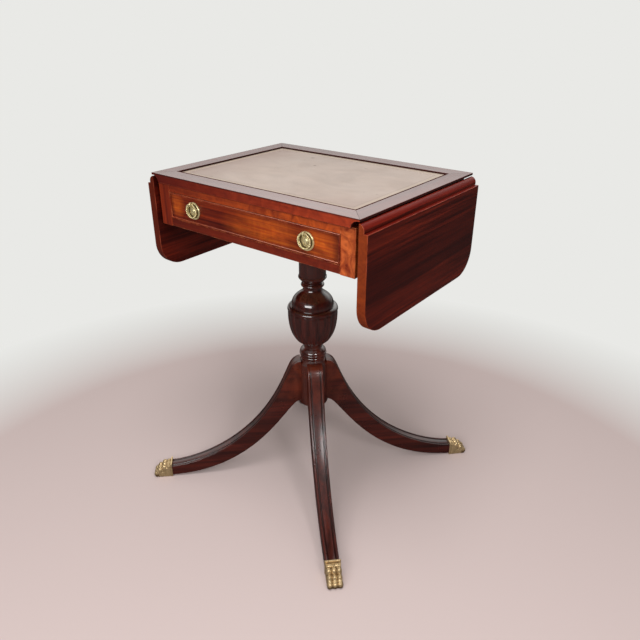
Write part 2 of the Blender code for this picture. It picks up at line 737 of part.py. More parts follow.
def cushion_rings(bottom, steps):
    edge = Vector((CUSHION_RADIUS, bottom))
    neck = Vector((FOOT_NECK_RADIUS, bottom + CUSHION_HEIGHT))
    line = curve(edge, edge + CUSHION_EDGE_HANDLE, neck + CUSHION_NECK_HANDLE, neck, steps)
    return [(level, radius, 0) for radius, level in line]


def urn_rings(bottom, steps):
    foot = Vector((URN_FOOT_RADIUS, bottom))
    edge = Vector((URN_RADIUS, bottom + URN_HEIGHT))
    line = curve(foot, foot + URN_FOOT_HANDLE, edge + URN_EDGE_HANDLE, edge, steps)
    rings = []
    for step, (radius, level) in enumerate(line):
        swell = math.sin(math.pi * (LOBE_FADE + (1 - 2 * LOBE_FADE) * step / steps))
        rings.append((level, radius, LOBE_DEPTH * swell))
    return rings


def rim_rings(bottom, steps):
    # A quarter round from the urn's edge in to the ledge the dome stands on
    outer = URN_RADIUS + RIM_PROUD
    rings = []
    for step in range(steps + 1):
        angle = math.pi / 2 * step / steps
        level = bottom + RIM_PROUD + (RIM_HEIGHT - RIM_PROUD) * math.sin(angle)
        rings.append((level, RIM_LEDGE_RADIUS + (outer - RIM_LEDGE_RADIUS) * math.cos(angle), 0))
    return rings


def dome_rings(bottom, steps):
    edge = Vector((DOME_RADIUS, bottom))
    neck = Vector((NECK_RADIUS, bottom + DOME_HEIGHT))
    line = curve(edge, edge + DOME_EDGE_HANDLE, neck + DOME_NECK_HANDLE, neck, steps)
    return [(level, radius, 0) for radius, level in line]


def cup_rings(bottom, steps):
    rings = []
    for step in range(steps + 1):
        share = step / steps
        level = bottom + CUP_HEIGHT * share
        rings.append((level, NECK_RADIUS + (CUP_RADIUS - NECK_RADIUS) * share**CUP_SWELL, 0))
    return rings


def column_rings():
    level = HUB_BOTTOM
    rings = [(level, HUB_RADIUS - HUB_CHAMFER, 0), (level + HUB_CHAMFER, HUB_RADIUS, 0)]
    level += HUB_HEIGHT
    rings += [(level - HUB_CHAMFER, HUB_RADIUS, 0), (level, HUB_RADIUS - HUB_CHAMFER, 0)]
    level += HUB_CONE_HEIGHT
    rings += bead_rings(level, LOWER_RING_HEIGHT, COLLAR_RADIUS, LOWER_RING_RADIUS, MOULDING_STEPS)
    level += LOWER_RING_HEIGHT
    rings += bead_rings(level, UPPER_RING_HEIGHT, COLLAR_RADIUS, UPPER_RING_RADIUS, MOULDING_STEPS)[1:]
    level += UPPER_RING_HEIGHT
    rings += cushion_rings(level, CUSHION_STEPS)
    level += CUSHION_HEIGHT + FOOT_NECK_HEIGHT
    rings += urn_rings(level, URN_STEPS)
    level += URN_HEIGHT
    rings += rim_rings(level, MOULDING_STEPS)
    level += RIM_HEIGHT
    rings += dome_rings(level, DOME_STEPS)
    level += DOME_HEIGHT + NECK_HEIGHT
    rings += bead_rings(level, RING_BEAD_HEIGHT, NECK_RADIUS, RING_BEAD_RADIUS, MOULDING_STEPS)
    level += RING_BEAD_HEIGHT + UPPER_NECK_HEIGHT
    rings += cup_rings(level, MOULDING_STEPS)
    level += CUP_HEIGHT + CUP_LIP
    rings += [(level, CUP_RADIUS, 0), (level, SHAFT_RADIUS, 0)]
    rings += [(COLUMN_TOP - CAPITAL_HEIGHT, SHAFT_RADIUS, 0)]
    rings += [(COLUMN_TOP - CAPITAL_HEIGHT / 2, CAPITAL_RADIUS, 0), (COLUMN_TOP, CAPITAL_RADIUS, 0)]
    tenon_top = CLEAT_TOP - TENON_END_GAP
    return rings + [(COLUMN_TOP, TENON_RADIUS, 0), (tenon_top, TENON_RADIUS, 0)]


def build_column(wood):
    place("column", lathe(column_rings(), COLUMN_STEPS, URN_LOBES), wood, smooth=True)


# Legs: a sabre outline in the plane of the leg, drawn along +X and turned to its corner
def leg_outline():
    knee_run = Vector((1, -LEG_KNEE_SLOPE))
    shoulder = Vector((LEG_SHOULDER_RADIUS, LEG_TOP))
    knee = Vector((LEG_KNEE_RADIUS, HUB_TOP - LEG_KNEE_DROP))
    undercut = Vector((LEG_UNDERCUT_RADIUS, LEG_ROOT - LEG_UNDERCUT_DROP))
    heel_top = Vector((HEEL, LEG_HEEL_TOP))
    heel_bottom = Vector((HEEL, LEG_HEEL_BOTTOM))
    into_knee = knee - knee_run * LEG_KNEE_HANDLE_IN
    out_of_knee = knee + knee_run * LEG_KNEE_HANDLE_OUT
    top = curve(shoulder, shoulder + LEG_SHOULDER_HANDLE, into_knee, knee, KNEE_STEPS)
    top += curve(knee, out_of_knee, heel_top + LEG_HEEL_HANDLE, heel_top, SWEEP_STEPS)[1:]
    sole_handle = heel_bottom + LEG_SOLE_HANDLE
    bottom = curve(undercut, undercut + LEG_UNDERCUT_HANDLE, sole_handle, heel_bottom, SWEEP_STEPS)
    return top, bottom


def leg_form():
    top, bottom = leg_outline()
    tenon_end = HEEL + LEG_TENON_LENGTH
    tenon_high = LEG_HEEL_TOP - LEG_TENON_SHOULDER
    tenon_low = LEG_HEEL_BOTTOM + LEG_TENON_SHOULDER
    outline = [(0, LEG_TOP)] + top + bottom[::-1] + [(0, LEG_ROOT)]
    form = prism(outline, "Y", -1, 1)
    for corner in form.verts:
        share = max(corner.co.x, 0) / HEEL
        corner.co.y *= (LEG_THICKNESS + (LEG_TOE_THICKNESS - LEG_THICKNESS) * share) / 2
    tenon_half = LEG_TOE_THICKNESS / 2 - LEG_TENON_SHOULDER
    overlap = LEG_TENON_LENGTH / 2
    tenon = block((HEEL - overlap, -tenon_half, tenon_low), (tenon_end, tenon_half, tenon_high))
    return form, tenon


def turned_to(form, side_x, side_y):
    angle = math.atan2(side_y, side_x)
    for corner in form.verts:
        across, along, rise = corner.co
        corner.co = (
            across * math.cos(angle) - along * math.sin(angle),
            across * math.sin(angle) + along * math.cos(angle),
            rise,
        )
    return form


def build_leg(name, side_x, side_y, wood):
    form, tenon = leg_form()
    leg = place(f"{name}_leg", turned_to(form, side_x, side_y), wood)
    shape_with(leg, turned_to(tenon, side_x, side_y), "UNION")
    shape_with(leg, rod("Z", (0, 0), HUB_RADIUS + FIT, 0, TABLE_HEIGHT, COLUMN_STEPS))


# Paws: a heel rim, two rows of knuckles and the toe tips, split into toes across
def toe_swell(across):
    return math.sin(math.pi * ((across + 1) / 2 * PAW_TOES % 1))


def paw_form():
    # Along from heel to tip, height, half width and toe groove depth, as shares of the paw's sizes
    stations = [
        (0.0, 1.0, 1.0, 0.0),
        (0.08, 1.0, 1.0, 0.0),
        (0.11, 0.9, 0.94, 0.03),
        (0.3, 1.03, 0.97, 0.14),
        (0.45, 0.86, 0.94, 0.16),
        (0.6, 0.84, 0.95, 0.16),
        (0.75, 0.66, 0.92, 0.15),
        (0.86, 0.56, 0.91, 0.14),
        (0.95, 0.4, 0.88, 0.1),
        (1.0, 0.12, 0.84, 0.03),
    ]
    form = bmesh.new()
    rows = []
    for share, height, width, groove in stations:
        row = []
        foot = HEEL + FIT + (PAW_LENGTH - FIT) * share
        for step in range(PAW_STRIPS + 1):
            across = -1 + 2 * step / PAW_STRIPS
            hollow = 1 - toe_swell(across)
            notch = TOE_NOTCH if share == 1 else 0
            front = foot - notch * hollow
            rise = PAW_HEIGHT * (height - groove * hollow)
            row.append(form.verts.new((front, across * width * PAW_WIDTH / 2, rise)))
        row.append(form.verts.new((foot, width * PAW_WIDTH / 2, 0)))
        row.append(form.verts.new((foot, -width * PAW_WIDTH / 2, 0)))
        rows.append(row)
    count = len(rows[0])
    for near, far in zip(rows, rows[1:]):
        for step in range(count):
            after = (step + 1) % count
            form.faces.new((near[step], near[after], far[after], far[step]))
    form.faces.new(rows[0])
    form.faces.new(rows[-1])
    return form


def build_paw(name, side_x, side_y, brass):
    paw = place(f"{name}_paw", turned_to(paw_form(), side_x, side_y), brass, smooth=True)
    half = LEG_TOE_THICKNESS / 2 - LEG_TENON_SHOULDER + FIT
    low = LEG_HEEL_BOTTOM + LEG_TENON_SHOULDER - FIT
    high = LEG_HEEL_TOP - LEG_TENON_SHOULDER + FIT
    socket = block((HEEL - PAW_LENGTH, -half, low), (HEEL + LEG_TENON_LENGTH + FIT, half, high))
    shape_with(paw, turned_to(socket, side_x, side_y))


def build_table():
    clear_scene()
    mahogany = finish("mahogany", (0.16, 0.035, 0.018), 0.25)
    dark_mahogany = finish("dark_mahogany", (0.05, 0.014, 0.011), 0.25)
    flame_mahogany = finish("flame_mahogany", (0.28, 0.06, 0.022), 0.25)
    plain_wood = finish("plain_wood", (0.42, 0.26, 0.14), 0.6)
    leather = finish("leather", (0.55, 0.43, 0.34), 0.5)
    felt = finish("felt", (0.05, 0.04, 0.035), 0.95)
    brass = finish("brass", (0.75, 0.53, 0.22), 0.25, 1.0)
    antique_brass = finish("antique_brass", (0.45, 0.3, 0.14), 0.35, 1.0)
    steel = finish("steel", (0.5, 0.5, 0.5), 0.35, 1.0)

    build_top(mahogany, plain_wood, leather)
    build_case_front(flame_mahogany)
    build_case_body(mahogany, plain_wood)
    for name, side in SIDES:
        build_side(name, side, mahogany, steel)
        hinge = carrier_at(f"{name}_leaf_carrier", (side * PIVOT_X, 0, PIVOT_Z))
        build_leaf(name, side, hinge, mahogany)
        for end, middle in hinge_places():
            build_hinge(name, side, end, middle, hinge, brass, steel)
    slide = carrier_at("drawer_carrier", (0, CASE_FRONT, OPENING_BOTTOM))
    build_drawer_front(slide, flame_mahogany, mahogany)
    build_drawer_box(slide, plain_wood, felt)
    for name, side in SIDES:
        build_pull(name, side, slide, brass)
    build_column(dark_mahogany)
    for name, side_x, side_y in CORNERS:
        build_leg(name, side_x, side_y, dark_mahogany)
        build_paw(name, side_x, side_y, antique_brass)


build_table()
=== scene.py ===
import math

import bmesh
import bpy
from mathutils import Matrix, Vector


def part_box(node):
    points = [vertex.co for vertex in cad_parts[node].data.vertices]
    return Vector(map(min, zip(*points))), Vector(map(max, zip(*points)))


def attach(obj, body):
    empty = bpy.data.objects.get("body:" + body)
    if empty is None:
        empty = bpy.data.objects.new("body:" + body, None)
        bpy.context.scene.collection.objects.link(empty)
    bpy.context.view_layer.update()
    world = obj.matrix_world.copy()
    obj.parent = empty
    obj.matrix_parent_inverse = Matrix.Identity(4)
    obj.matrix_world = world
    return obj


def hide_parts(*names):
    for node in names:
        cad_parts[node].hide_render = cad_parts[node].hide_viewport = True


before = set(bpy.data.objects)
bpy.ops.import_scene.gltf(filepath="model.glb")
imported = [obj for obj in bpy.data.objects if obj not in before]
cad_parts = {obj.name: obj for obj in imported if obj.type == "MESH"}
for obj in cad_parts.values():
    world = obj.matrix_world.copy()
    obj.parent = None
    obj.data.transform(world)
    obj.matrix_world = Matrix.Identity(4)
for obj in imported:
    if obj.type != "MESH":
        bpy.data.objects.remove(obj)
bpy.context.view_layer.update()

mm = 0.001
samePoint = 0.01 * mm  # points closer than this are one point
flatJoin = math.radians(1)  # faces closer to level than this are one face
arrisAngle = math.radians(30)  # edges sharper than this are rounded
quarterTurn = math.radians(90)
sides = ("left", "right")
ends = ("front", "back")


# Meshes
def moveBy(form, verts, vec):
    bmesh.ops.translate(form, verts=verts, vec=vec)


def turnAbout(form, verts, angle, axis):
    bmesh.ops.rotate(form, verts=verts, cent=(0, 0, 0), matrix=Matrix.Rotation(angle, 3, axis))


def roundEdges(form, edges, ease, segments=3, clamp=False):
    return bmesh.ops.bevel(form, geom=edges, offset=ease, offset_type="OFFSET", affect="EDGES",
                           segments=segments, profile=0.5, material=-1, clamp_overlap=clamp)


def addBlock(form, low, high):
    low = Vector(low)
    high = Vector(high)
    verts = bmesh.ops.create_cube(form, size=1)["verts"]
    bmesh.ops.scale(form, verts=verts, vec=high - low)
    moveBy(form, verts, (low + high) / 2)
    return verts


def boxForm(low, high):
    form = bmesh.new()
    addBlock(form, low, high)
    return form


def spunForm(profile, steps, closed=False):
    form = bmesh.new()  # profile points are a radius and a height, turned about Z
    points = [form.verts.new((radius, 0, height)) for radius, height in profile]
    for first, second in zip(points, points[1:]):
        form.edges.new((first, second))
    if closed:
        form.edges.new((points[-1], points[0]))
    bmesh.ops.spin(form, geom=form.verts[:] + form.edges[:], cent=(0, 0, 0), axis=(0, 0, 1),
                   angle=math.tau, steps=steps, use_merge=True)
    bmesh.ops.remove_doubles(form, verts=form.verts, dist=samePoint)
    return form


def clamped(share):
    return min(1, max(0, share))


def arcProfile(middleRadius, middleHeight, reach, rise, start, end, steps):
    points = []
    for step in range(steps + 1):
        angle = math.radians(start + (end - start) * step / steps)
        points.append((middleRadius + reach * math.cos(angle), middleHeight + rise * math.sin(angle)))
    return points


def bezier(first, firstHandle, lastHandle, last, steps):
    points = []
    for step in range(steps + 1):
        t = step / steps
        s = 1 - t
        points.append(s**3 * first + 3 * s * s * t * firstHandle + 3 * s * t * t * lastHandle + t**3 * last)
    return points


def onMitre(edge):
    return any(min(abs(face.normal.x), abs(face.normal.y)) > 0.1 for face in edge.link_faces)


def easedCopy(node, ease, mitred=False):
    form = bmesh.new()  # a merged copy of a CAD node with its arrises rounded
    form.from_mesh(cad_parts[node].data)
    rubbed = form.faces.layers.float.new("edgeWear")
    bmesh.ops.remove_doubles(form, verts=form.verts, dist=samePoint)
    bmesh.ops.dissolve_limit(form, angle_limit=flatJoin, verts=form.verts, edges=form.edges)
    arrises = [edge for edge in form.edges
               if len(edge.link_faces) == 2 and edge.is_convex
               and edge.calc_face_angle() > arrisAngle
               and not (mitred and onMitre(edge))]
    for face in roundEdges(form, arrises, ease, clamp=True)["faces"]:
        face[rubbed] = 1
    return form


def markFaces(form, marks):
    form.normal_update()
    for name, rule in marks.items():
        layer = form.faces.layers.float.new(name)
        for face in form.faces:
            face[layer] = rule(face)


def link(thing):
    bpy.context.scene.collection.objects.link(thing)
    return thing


def newObject(name, form):
    mesh = bpy.data.meshes.new(name)
    form.to_mesh(mesh)
    form.free()
    return link(bpy.data.objects.new(name, mesh))


def addPiece(name, form, finish, body, stands, sharpest=40, flat=False):
    bmesh.ops.recalc_face_normals(form, faces=form.faces)
    piece = newObject(name, form)
    piece.data.materials.append(finish)
    piece.data.shade_smooth()
    piece.data.set_sharp_from_angle(angle=math.radians(sharpest))
    if flat:  # keeps broad flat faces flat beside their rounded arrises
        piece.modifiers.new("flatFaces", "WEIGHTED_NORMAL").keep_sharp = True
    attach(piece, body)
    if stands:
        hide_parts(*stands)
    return piece


# Colours are written as the 0 to 255 numbers of a colour picker
def tone(*channels):
    shares = [value / 255 for value in channels]
    return (*(share / 12.92 if share <= 0.04045 else ((share + 0.055) / 1.055) ** 2.4 for share in shares), 1)


# Shader nodes: a new node joins the tree of what feeds it, or of the socket it is put near
def feedNode(node, feeds):
    for label, value in feeds.items():
        if isinstance(value, bpy.types.NodeSocket):
            node.id_data.links.new(value, node.inputs[label])
        else:
            node.inputs[label].default_value = value
    return node


def addNode(kind, feeds, near=None, **settings):
    sockets = [value for value in (near, *feeds.values()) if isinstance(value, bpy.types.NodeSocket)]
    node = sockets[0].id_data.nodes.new(f"ShaderNode{kind}")
    for label, value in settings.items():
        setattr(node, label, value)
    return feedNode(node, feeds)


def maths(operation, first, second=0.0):
    return addNode("Math", {0: first, 1: second}, operation=operation).outputs[0]


def times(first, second):
    return maths("MULTIPLY", first, second)


def measured(operation, first, second=(0, 0, 0)):
    return addNode("VectorMath", {0: first, 1: second}, operation=operation).outputs["Value"]


def axisOf(place, index):
    return addNode("SeparateXYZ", {0: place}).outputs[index]


def marked(place, name):
    return addNode("Attribute", {}, place, attribute_name=name).outputs["Fac"]


def ranged(value, low, high, toLow=0.0, toHigh=1.0):
    return addNode("MapRange", {0: value, 1: low, 2: high, 3: toLow, 4: toHigh}).outputs[0]


def blended(share, first, second):
    return addNode("Mix", {0: share, 6: first, 7: second}, data_type="RGBA").outputs[2]


def mapped(vector, scale=(1, 1, 1), turn=(0, 0, 0), shift=(0, 0, 0)):
    feeds = {"Vector": vector, "Scale": scale, "Rotation": turn, "Location": shift}
    return addNode("Mapping", feeds).outputs[0]


def cloudy(vector, scale, detail=3.0, swirl=0.0):
    feeds = {"Vector": mapped(vector, scale), "Scale": 1.0, "Detail": detail, "Roughness": 0.55,
             "Distortion": swirl}
    return addNode("TexNoise", feeds).outputs[0]


def fromSpot(place, spot, reach):
    scale = [1 / length if length else 0 for length in reach]  # an axis with no reach isn't measured
    shift = [-along * share for along, share in zip(spot, scale)]
    return measured("LENGTH", mapped(place, scale, shift=shift))


def newGroup(name, inputs, outputs):
    tree = bpy.data.node_groups.new(name, "ShaderNodeTree")
    for way, labels in (("INPUT", inputs), ("OUTPUT", outputs)):
        for label in labels.split():
            kind = "NodeSocketVector" if label == "Vector" else "NodeSocketFloat"
            tree.interface.new_socket(name=label, in_out=way, socket_type=kind)
    return tree, tree.nodes.new("NodeGroupInput").outputs, tree.nodes.new("NodeGroupOutput")


def useGroup(group, feeds):
    return addNode("Group", feeds, node_tree=group).outputs


def newFinish(name):
    material = bpy.data.materials.new(name)
    material.use_nodes = True
    tree = material.node_tree
    place = tree.nodes.new("ShaderNodeTexCoord").outputs["Object"]
    return material, tree.nodes["Principled BSDF"], place


def bumped(height, strength, distance):
    return addNode("Bump", {"Height": height, "Strength": strength, "Distance": distance}).outputs[0]


# Shared effects: wood grain along X, rubbed arrises, uneven polish and tarnish
noiseScales = dict(
    ribbon=(3, 62, 62), streak=(7, 330, 330), pores=(75, 1500, 1500), rubbed=(55, 55, 55),
    smudge=(17, 17, 17), scratches=(14, 900, 600), blotches=(130, 130, 130), pits=(900, 900, 900))


def makeWoodGrain():
    tree, given, result = newGroup("woodGrain", "Vector Swirl", "Ribbon Streak Pores Height")
    ribbon = cloudy(given["Vector"], noiseScales["ribbon"], 3.0, given["Swirl"])
    streak = cloudy(given["Vector"], noiseScales["streak"], 4.0, 0.2)
    pores = ranged(cloudy(given["Vector"], noiseScales["pores"], 1.0), 0.6, 0.7)
    feedNode(result, {
        "Ribbon": ranged(ribbon, 0.3, 0.7),
        "Streak": ranged(streak, 0.3, 0.7),
        "Pores": pores,
        "Height": maths("SUBTRACT", times(streak, 0.4), pores),
    })
    return tree


def makeRubbedEdges():
    tree, given, result = newGroup("rubbedEdges", "Vector Edge", "Rubbed")
    patches = ranged(cloudy(given["Vector"], noiseScales["rubbed"], 4.0), 0.42, 0.62)
    feedNode(result, {"Rubbed": times(patches, given["Edge"])})
    return tree


def makeHandledPolish():
    tree, given, result = newGroup("handledPolish", "Vector Polish Spread", "Roughness")
    smudge = ranged(cloudy(given["Vector"], noiseScales["smudge"], 5.0, 0.6), 0.35, 0.7)
    scratches = ranged(cloudy(given["Vector"], noiseScales["scratches"], 1.0), 0.66, 0.72)
    marks = maths("ADD", smudge, times(scratches, 0.6))
    uneven = times(marks, given["Spread"])
    feedNode(result, {"Roughness": maths("ADD", uneven, given["Polish"])})
    return tree


def makeTarnish():
    tree, given, result = newGroup("tarnish", "Vector Hollow", "Tarnish Height")
    blotches = ranged(cloudy(given["Vector"], noiseScales["blotches"], 5.0, 0.4), 0.4, 0.68)
    pits = ranged(cloudy(given["Vector"], noiseScales["pits"], 2.0), 0.56, 0.7)
    dark = maths("MAXIMUM", times(blotches, 0.45), given["Hollow"])
    feedNode(result, {
        "Tarnish": maths("ADD", dark, times(pits, 0.15)),
        "Height": maths("SUBTRACT", 0.5, pits),
    })
    return tree


woodGrain = makeWoodGrain()
rubbedEdges = makeRubbedEdges()
handledPolish = makeHandledPolish()
tarnish = makeTarnish()
print("stage: node groups ready")


def handled(vector, polish, spread):
    feeds = {"Vector": vector, "Polish": polish, "Spread": spread}
    return useGroup(handledPolish, feeds)["Roughness"]


# Woods: the turn sends the piece's grain along X
alongX = (0, 0, 0)
alongY = (0, 0, -quarterTurn)
alongZ = (0, quarterTurn, 0)
paintedLightReach = 0.22  # half the width over which painted light makes a front paler towards the right
# Painted shade: the dark colour that faces marked as shaded blend towards
paintedShadeTone = tone(24, 8, 7)

ribbonMahogany = dict(
    dark=tone(40, 6, 5), middle=tone(72, 15, 10), light=tone(122, 36, 15), worn=tone(164, 74, 48),
    wornShare=0.55, ribbonShare=0.85, poreShare=0.35, polish=0.3, spread=0.1, coat=0.16, coatIndex=1.5,
    coatRoughness=0.08, specular=0.3, bump=0.06, bumpDepth=0.4 * mm)
# Narrow faces of a board: left and right are the shares of painted light at the two ends of the front, paler
# towards the right
leafSides = dict(dark=tone(80, 22, 10), light=tone(146, 60, 20), left=0.1, right=0.9, coat=0.2,
                 streakShare=0.25)
leafMahogany = dict(ribbonMahogany, side=leafSides, specular=0.16, stripe=0.588, stripeReach=0.056,
                    stripeCore=0.012, stripeWander=0.012, stripeShare=0.6, glow=tone(140, 32, 20),
                    glowShare=0.38)
topSides = dict(leafSides, dark=tone(78, 14, 9), light=tone(180, 64, 28), left=0.05, right=0.85, coat=0.1,
                arrisShadeTone=tone(44, 8, 8), arrisLine=3.2 * mm, arrisFull=1 * mm, arrisShare=0.8)
# The side rails' narrow faces are near black: painted shade, as they sit in the rule joint's shadow
shadedLipSides = dict(leafSides, dark=tone(34, 8, 7), light=tone(58, 15, 11))
topMahogany = dict(ribbonMahogany, dark=tone(84, 24, 17), middle=tone(106, 34, 22), light=tone(124, 46, 28),
                   coat=1.0, ribbonShare=0.5, side=topSides)
flameMahogany = dict(ribbonMahogany, dark=tone(84, 17, 8), middle=tone(128, 36, 12), light=tone(168, 66, 20),
                     worn=tone(214, 120, 70), coat=0.15, ribbonShare=0.65)
frontMahogany = dict(flameMahogany, left=0.0, overhangShadowStart=4.5 * mm, overhangShadowFull=1 * mm, overhangShadowShare=0.9)
# glow is the painted light colour of each front's lit right side
stileMahogany = dict(frontMahogany, glow=tone(214, 106, 48), right=0.8, mottle=0.0)
topRailMahogany = dict(frontMahogany, glow=tone(206, 88, 24), right=0.9, mottle=0.2)
bottomRailMahogany = dict(frontMahogany, dark=tone(64, 11, 7), middle=tone(94, 22, 10),
                          light=tone(126, 42, 16), glow=tone(150, 50, 20), right=0.45, mottle=0.2)
cockbeadMahogany = dict(flameMahogany, dark=tone(84, 20, 10), middle=tone(116, 34, 16),
                        light=tone(150, 58, 26), glow=tone(240, 168, 146), wornShare=0.2, left=0.0,
                        right=0.62)
drawerMahogany = dict(flameMahogany, dark=tone(58, 8, 6), middle=tone(98, 20, 10), light=tone(182, 66, 12),
                      glow=tone(226, 112, 22), flameEdge=1.35, flameCore=0.1, flameShare=0.85,
                      darkEnds=((0.187, 0.199), (-0.19, -0.199)), darkShare=0.6)
# Light patches of the drawer's flame figure: place along X, height, reach along X, reach in height
flamePatches = {
    "left": (-0.188, 0.645, 0.022, 0.02),
    "middle": (0.045, 0.637, 0.085, 0.03),
    "right": (0.168, 0.64, 0.043, 0.038),
}
# glow is a painted sheen near the hub
turnedMahogany = dict(ribbonMahogany, dark=tone(38, 10, 8), middle=tone(62, 18, 13), light=tone(104, 36, 22),
                      worn=tone(124, 56, 38), ribbonShare=0.7, polish=0.26, coat=1.0, coatIndex=1.85,
                      coatRoughness=0.12, glow=tone(128, 54, 28), glowPlace=(0, 0, 0.25), glowReach=0.11,
                      glowCore=0.05, glowShare=0.3)
legMahogany = dict(turnedMahogany, coat=0.42, coatRoughness=0.24, glowShare=0.45, dullReach=0.09,
                   dullCore=0.054, dullCoat=0.21)
plainTimber = dict(ribbonMahogany, dark=tone(140, 100, 64), middle=tone(172, 132, 88),
                   light=tone(196, 160, 114), stain=tone(96, 66, 42), stainShare=0.5, wornShare=0.0,
                   ribbonShare=0.6, polish=0.58, spread=0.16, coat=0.0, specular=0.5, bump=0.25,
                   bumpDepth=0.5 * mm)


def woodColour(values, grain):
    deep = blended(grain["Ribbon"], values["dark"], values["middle"])
    lit = times(grain["Streak"], grain["Ribbon"])
    warm = blended(times(lit, values["ribbonShare"]), deep, values["light"])
    return blended(times(grain["Pores"], values["poreShare"]), warm, values["dark"])


# Painted light: the share grows from left to right across a front, as if more light fell on its right
def paintedLightAcross(place, values):
    return ranged(axisOf(place, 0), -paintedLightReach, paintedLightReach, values["left"], values["right"])


def sideColour(values, place, grain):
    mottle = ranged(cloudy(place, (52, 52, 52), 4.0, 0.9), 0.34, 0.66, 0.45, 1.0)
    share = times(mottle, paintedLightAcross(place, values))
    warm = blended(share, values["dark"], values["light"])
    warm = blended(times(grain["Streak"], values["streakShare"]), warm, values["dark"])
    # The top's front and back edges take a dark line of painted shade just under the upper arris
    if "arrisLine" not in values:
        return warm
    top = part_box("top_rail_front")[1].z
    line = ranged(axisOf(place, 2), top - values["arrisLine"], top - values["arrisFull"],
                  0.0, values["arrisShare"])
    return blended(line, warm, values["arrisShadeTone"])


def polishedWood(name, values, turn, swirl, figure=None, seed=(0, 0, 0)):
    material, shader, place = newFinish(name)
    along = mapped(place, turn=turn, shift=seed)
    grain = useGroup(woodGrain, {"Vector": along, "Swirl": swirl})
    colour = woodColour(values, grain)
    coat = values["coat"]
    if figure:
        colour = figure(values, place, grain, colour)
    if "side" in values:
        narrow = marked(place, "sideFace")
        colour = blended(narrow, colour, sideColour(values["side"], place, grain))
        coat = ranged(narrow, 0.0, 1.0, coat, values["side"]["coat"])
    if "dullReach" in values:
        distance = measured("DISTANCE", place, values["glowPlace"])
        coat = ranged(distance, values["dullCore"], values["dullReach"], values["dullCoat"], coat)
    rubbed = useGroup(rubbedEdges, {"Vector": place, "Edge": marked(place, "edgeWear")})["Rubbed"]
    colour = blended(times(rubbed, values["wornShare"]), colour, values["worn"])
    feedNode(shader, {
        "Base Color": blended(marked(place, "paintedShade"), colour, paintedShadeTone),
        "Roughness": handled(along, values["polish"], values["spread"]),
        "Coat Weight": coat,
        "Coat Roughness": values["coatRoughness"],
        "Coat IOR": values["coatIndex"],
        "Specular IOR Level": values["specular"],
        "Normal": bumped(grain["Height"], values["bump"], values["bumpDepth"]),
    })
    return material


# Figures: each takes a wood's plain colour and adds what is particular to the piece, painted light and shade
# among it
def mottledFront(values, place, grain, colour):
    mottle = ranged(cloudy(place, (48, 48, 40), 4.0, 1.1), 0.34, 0.64, values["mottle"], 1.0)
    # Painted light: the front blends towards its glow colour on the right
    colour = blended(times(mottle, paintedLightAcross(place, values)), colour, values["glow"])
    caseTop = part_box("top_front_rail")[1].z
    overhangShadow = ranged(axisOf(place, 2), caseTop - values["overhangShadowStart"], caseTop - values["overhangShadowFull"],
                  0.0, values["overhangShadowShare"])  # painted shadow under the top's overhang
    return blended(overhangShadow, colour, values["dark"])


def leafFigure(values, place, grain, colour):
    off = maths("ABSOLUTE", maths("SUBTRACT", axisOf(place, 2), values["stripe"]))
    wander = ranged(cloudy(place, (5, 5, 24), 3.0, 0.6), 0.3, 0.7,
                    -values["stripeWander"], values["stripeWander"])
    stripe = ranged(maths("ADD", off, wander), values["stripeReach"], values["stripeCore"],
                    0.0, values["stripeShare"])
    colour = blended(stripe, colour, values["dark"])
    # Painted light: upward faces such as the ovolo blend towards the glow colour, lit from above
    return blended(times(marked(place, "upperSide"), values["glowShare"]), colour, values["glow"])


def beadPaintedHighlight(values, place, grain, colour):
    # Painted highlight: a pale pink line along the bead's upper slope, stronger towards the right
    share = times(marked(place, "upperSide"), paintedLightAcross(place, values))
    return blended(share, colour, values["glow"])


def hubPaintedSheen(values, place, grain, colour):
    # Painted sheen: a warm lighter patch on the wood round the hub
    distance = measured("DISTANCE", place, values["glowPlace"])
    near = ranged(distance, values["glowReach"], values["glowCore"], 0.0, values["glowShare"])
    mottle = ranged(cloudy(place, (26, 26, 26), 3.0, 0.8), 0.36, 0.64)
    return blended(times(near, mottle), colour, values["glow"])


def flameFigure(values, place, grain, colour):
    flame = 0.0
    for spot, height, acrossReach, heightReach in flamePatches.values():
        distance = fromSpot(place, (spot, 0, height), (acrossReach, 0, heightReach))
        patch = ranged(distance, values["flameEdge"], values["flameCore"])
        flame = maths("MAXIMUM", patch, flame)
    billow = ranged(cloudy(place, (16, 16, 46), 4.0, 1.4), 0.28, 0.62, 0.35, 1.0)
    shimmer = ranged(cloudy(place, (60, 60, 9), 2.0, 0.8), 0.3, 0.65, 0.7, 1.0)
    flame = times(times(flame, billow), shimmer)
    bright = blended(grain["Streak"], values["light"], values["glow"])
    colour = blended(times(flame, values["flameShare"]), colour, bright)
    across = axisOf(place, 0)
    shades = [ranged(across, start, end, 0.0, values["darkShare"]) for start, end in values["darkEnds"]]
    return blended(maths("ADD", *shades), colour, values["dark"])


def plainStains(values, place, grain, colour):
    stains = ranged(cloudy(place, (11, 11, 11), 5.0, 0.5), 0.52, 0.75)
    return blended(times(stains, values["stainShare"]), colour, values["stain"])


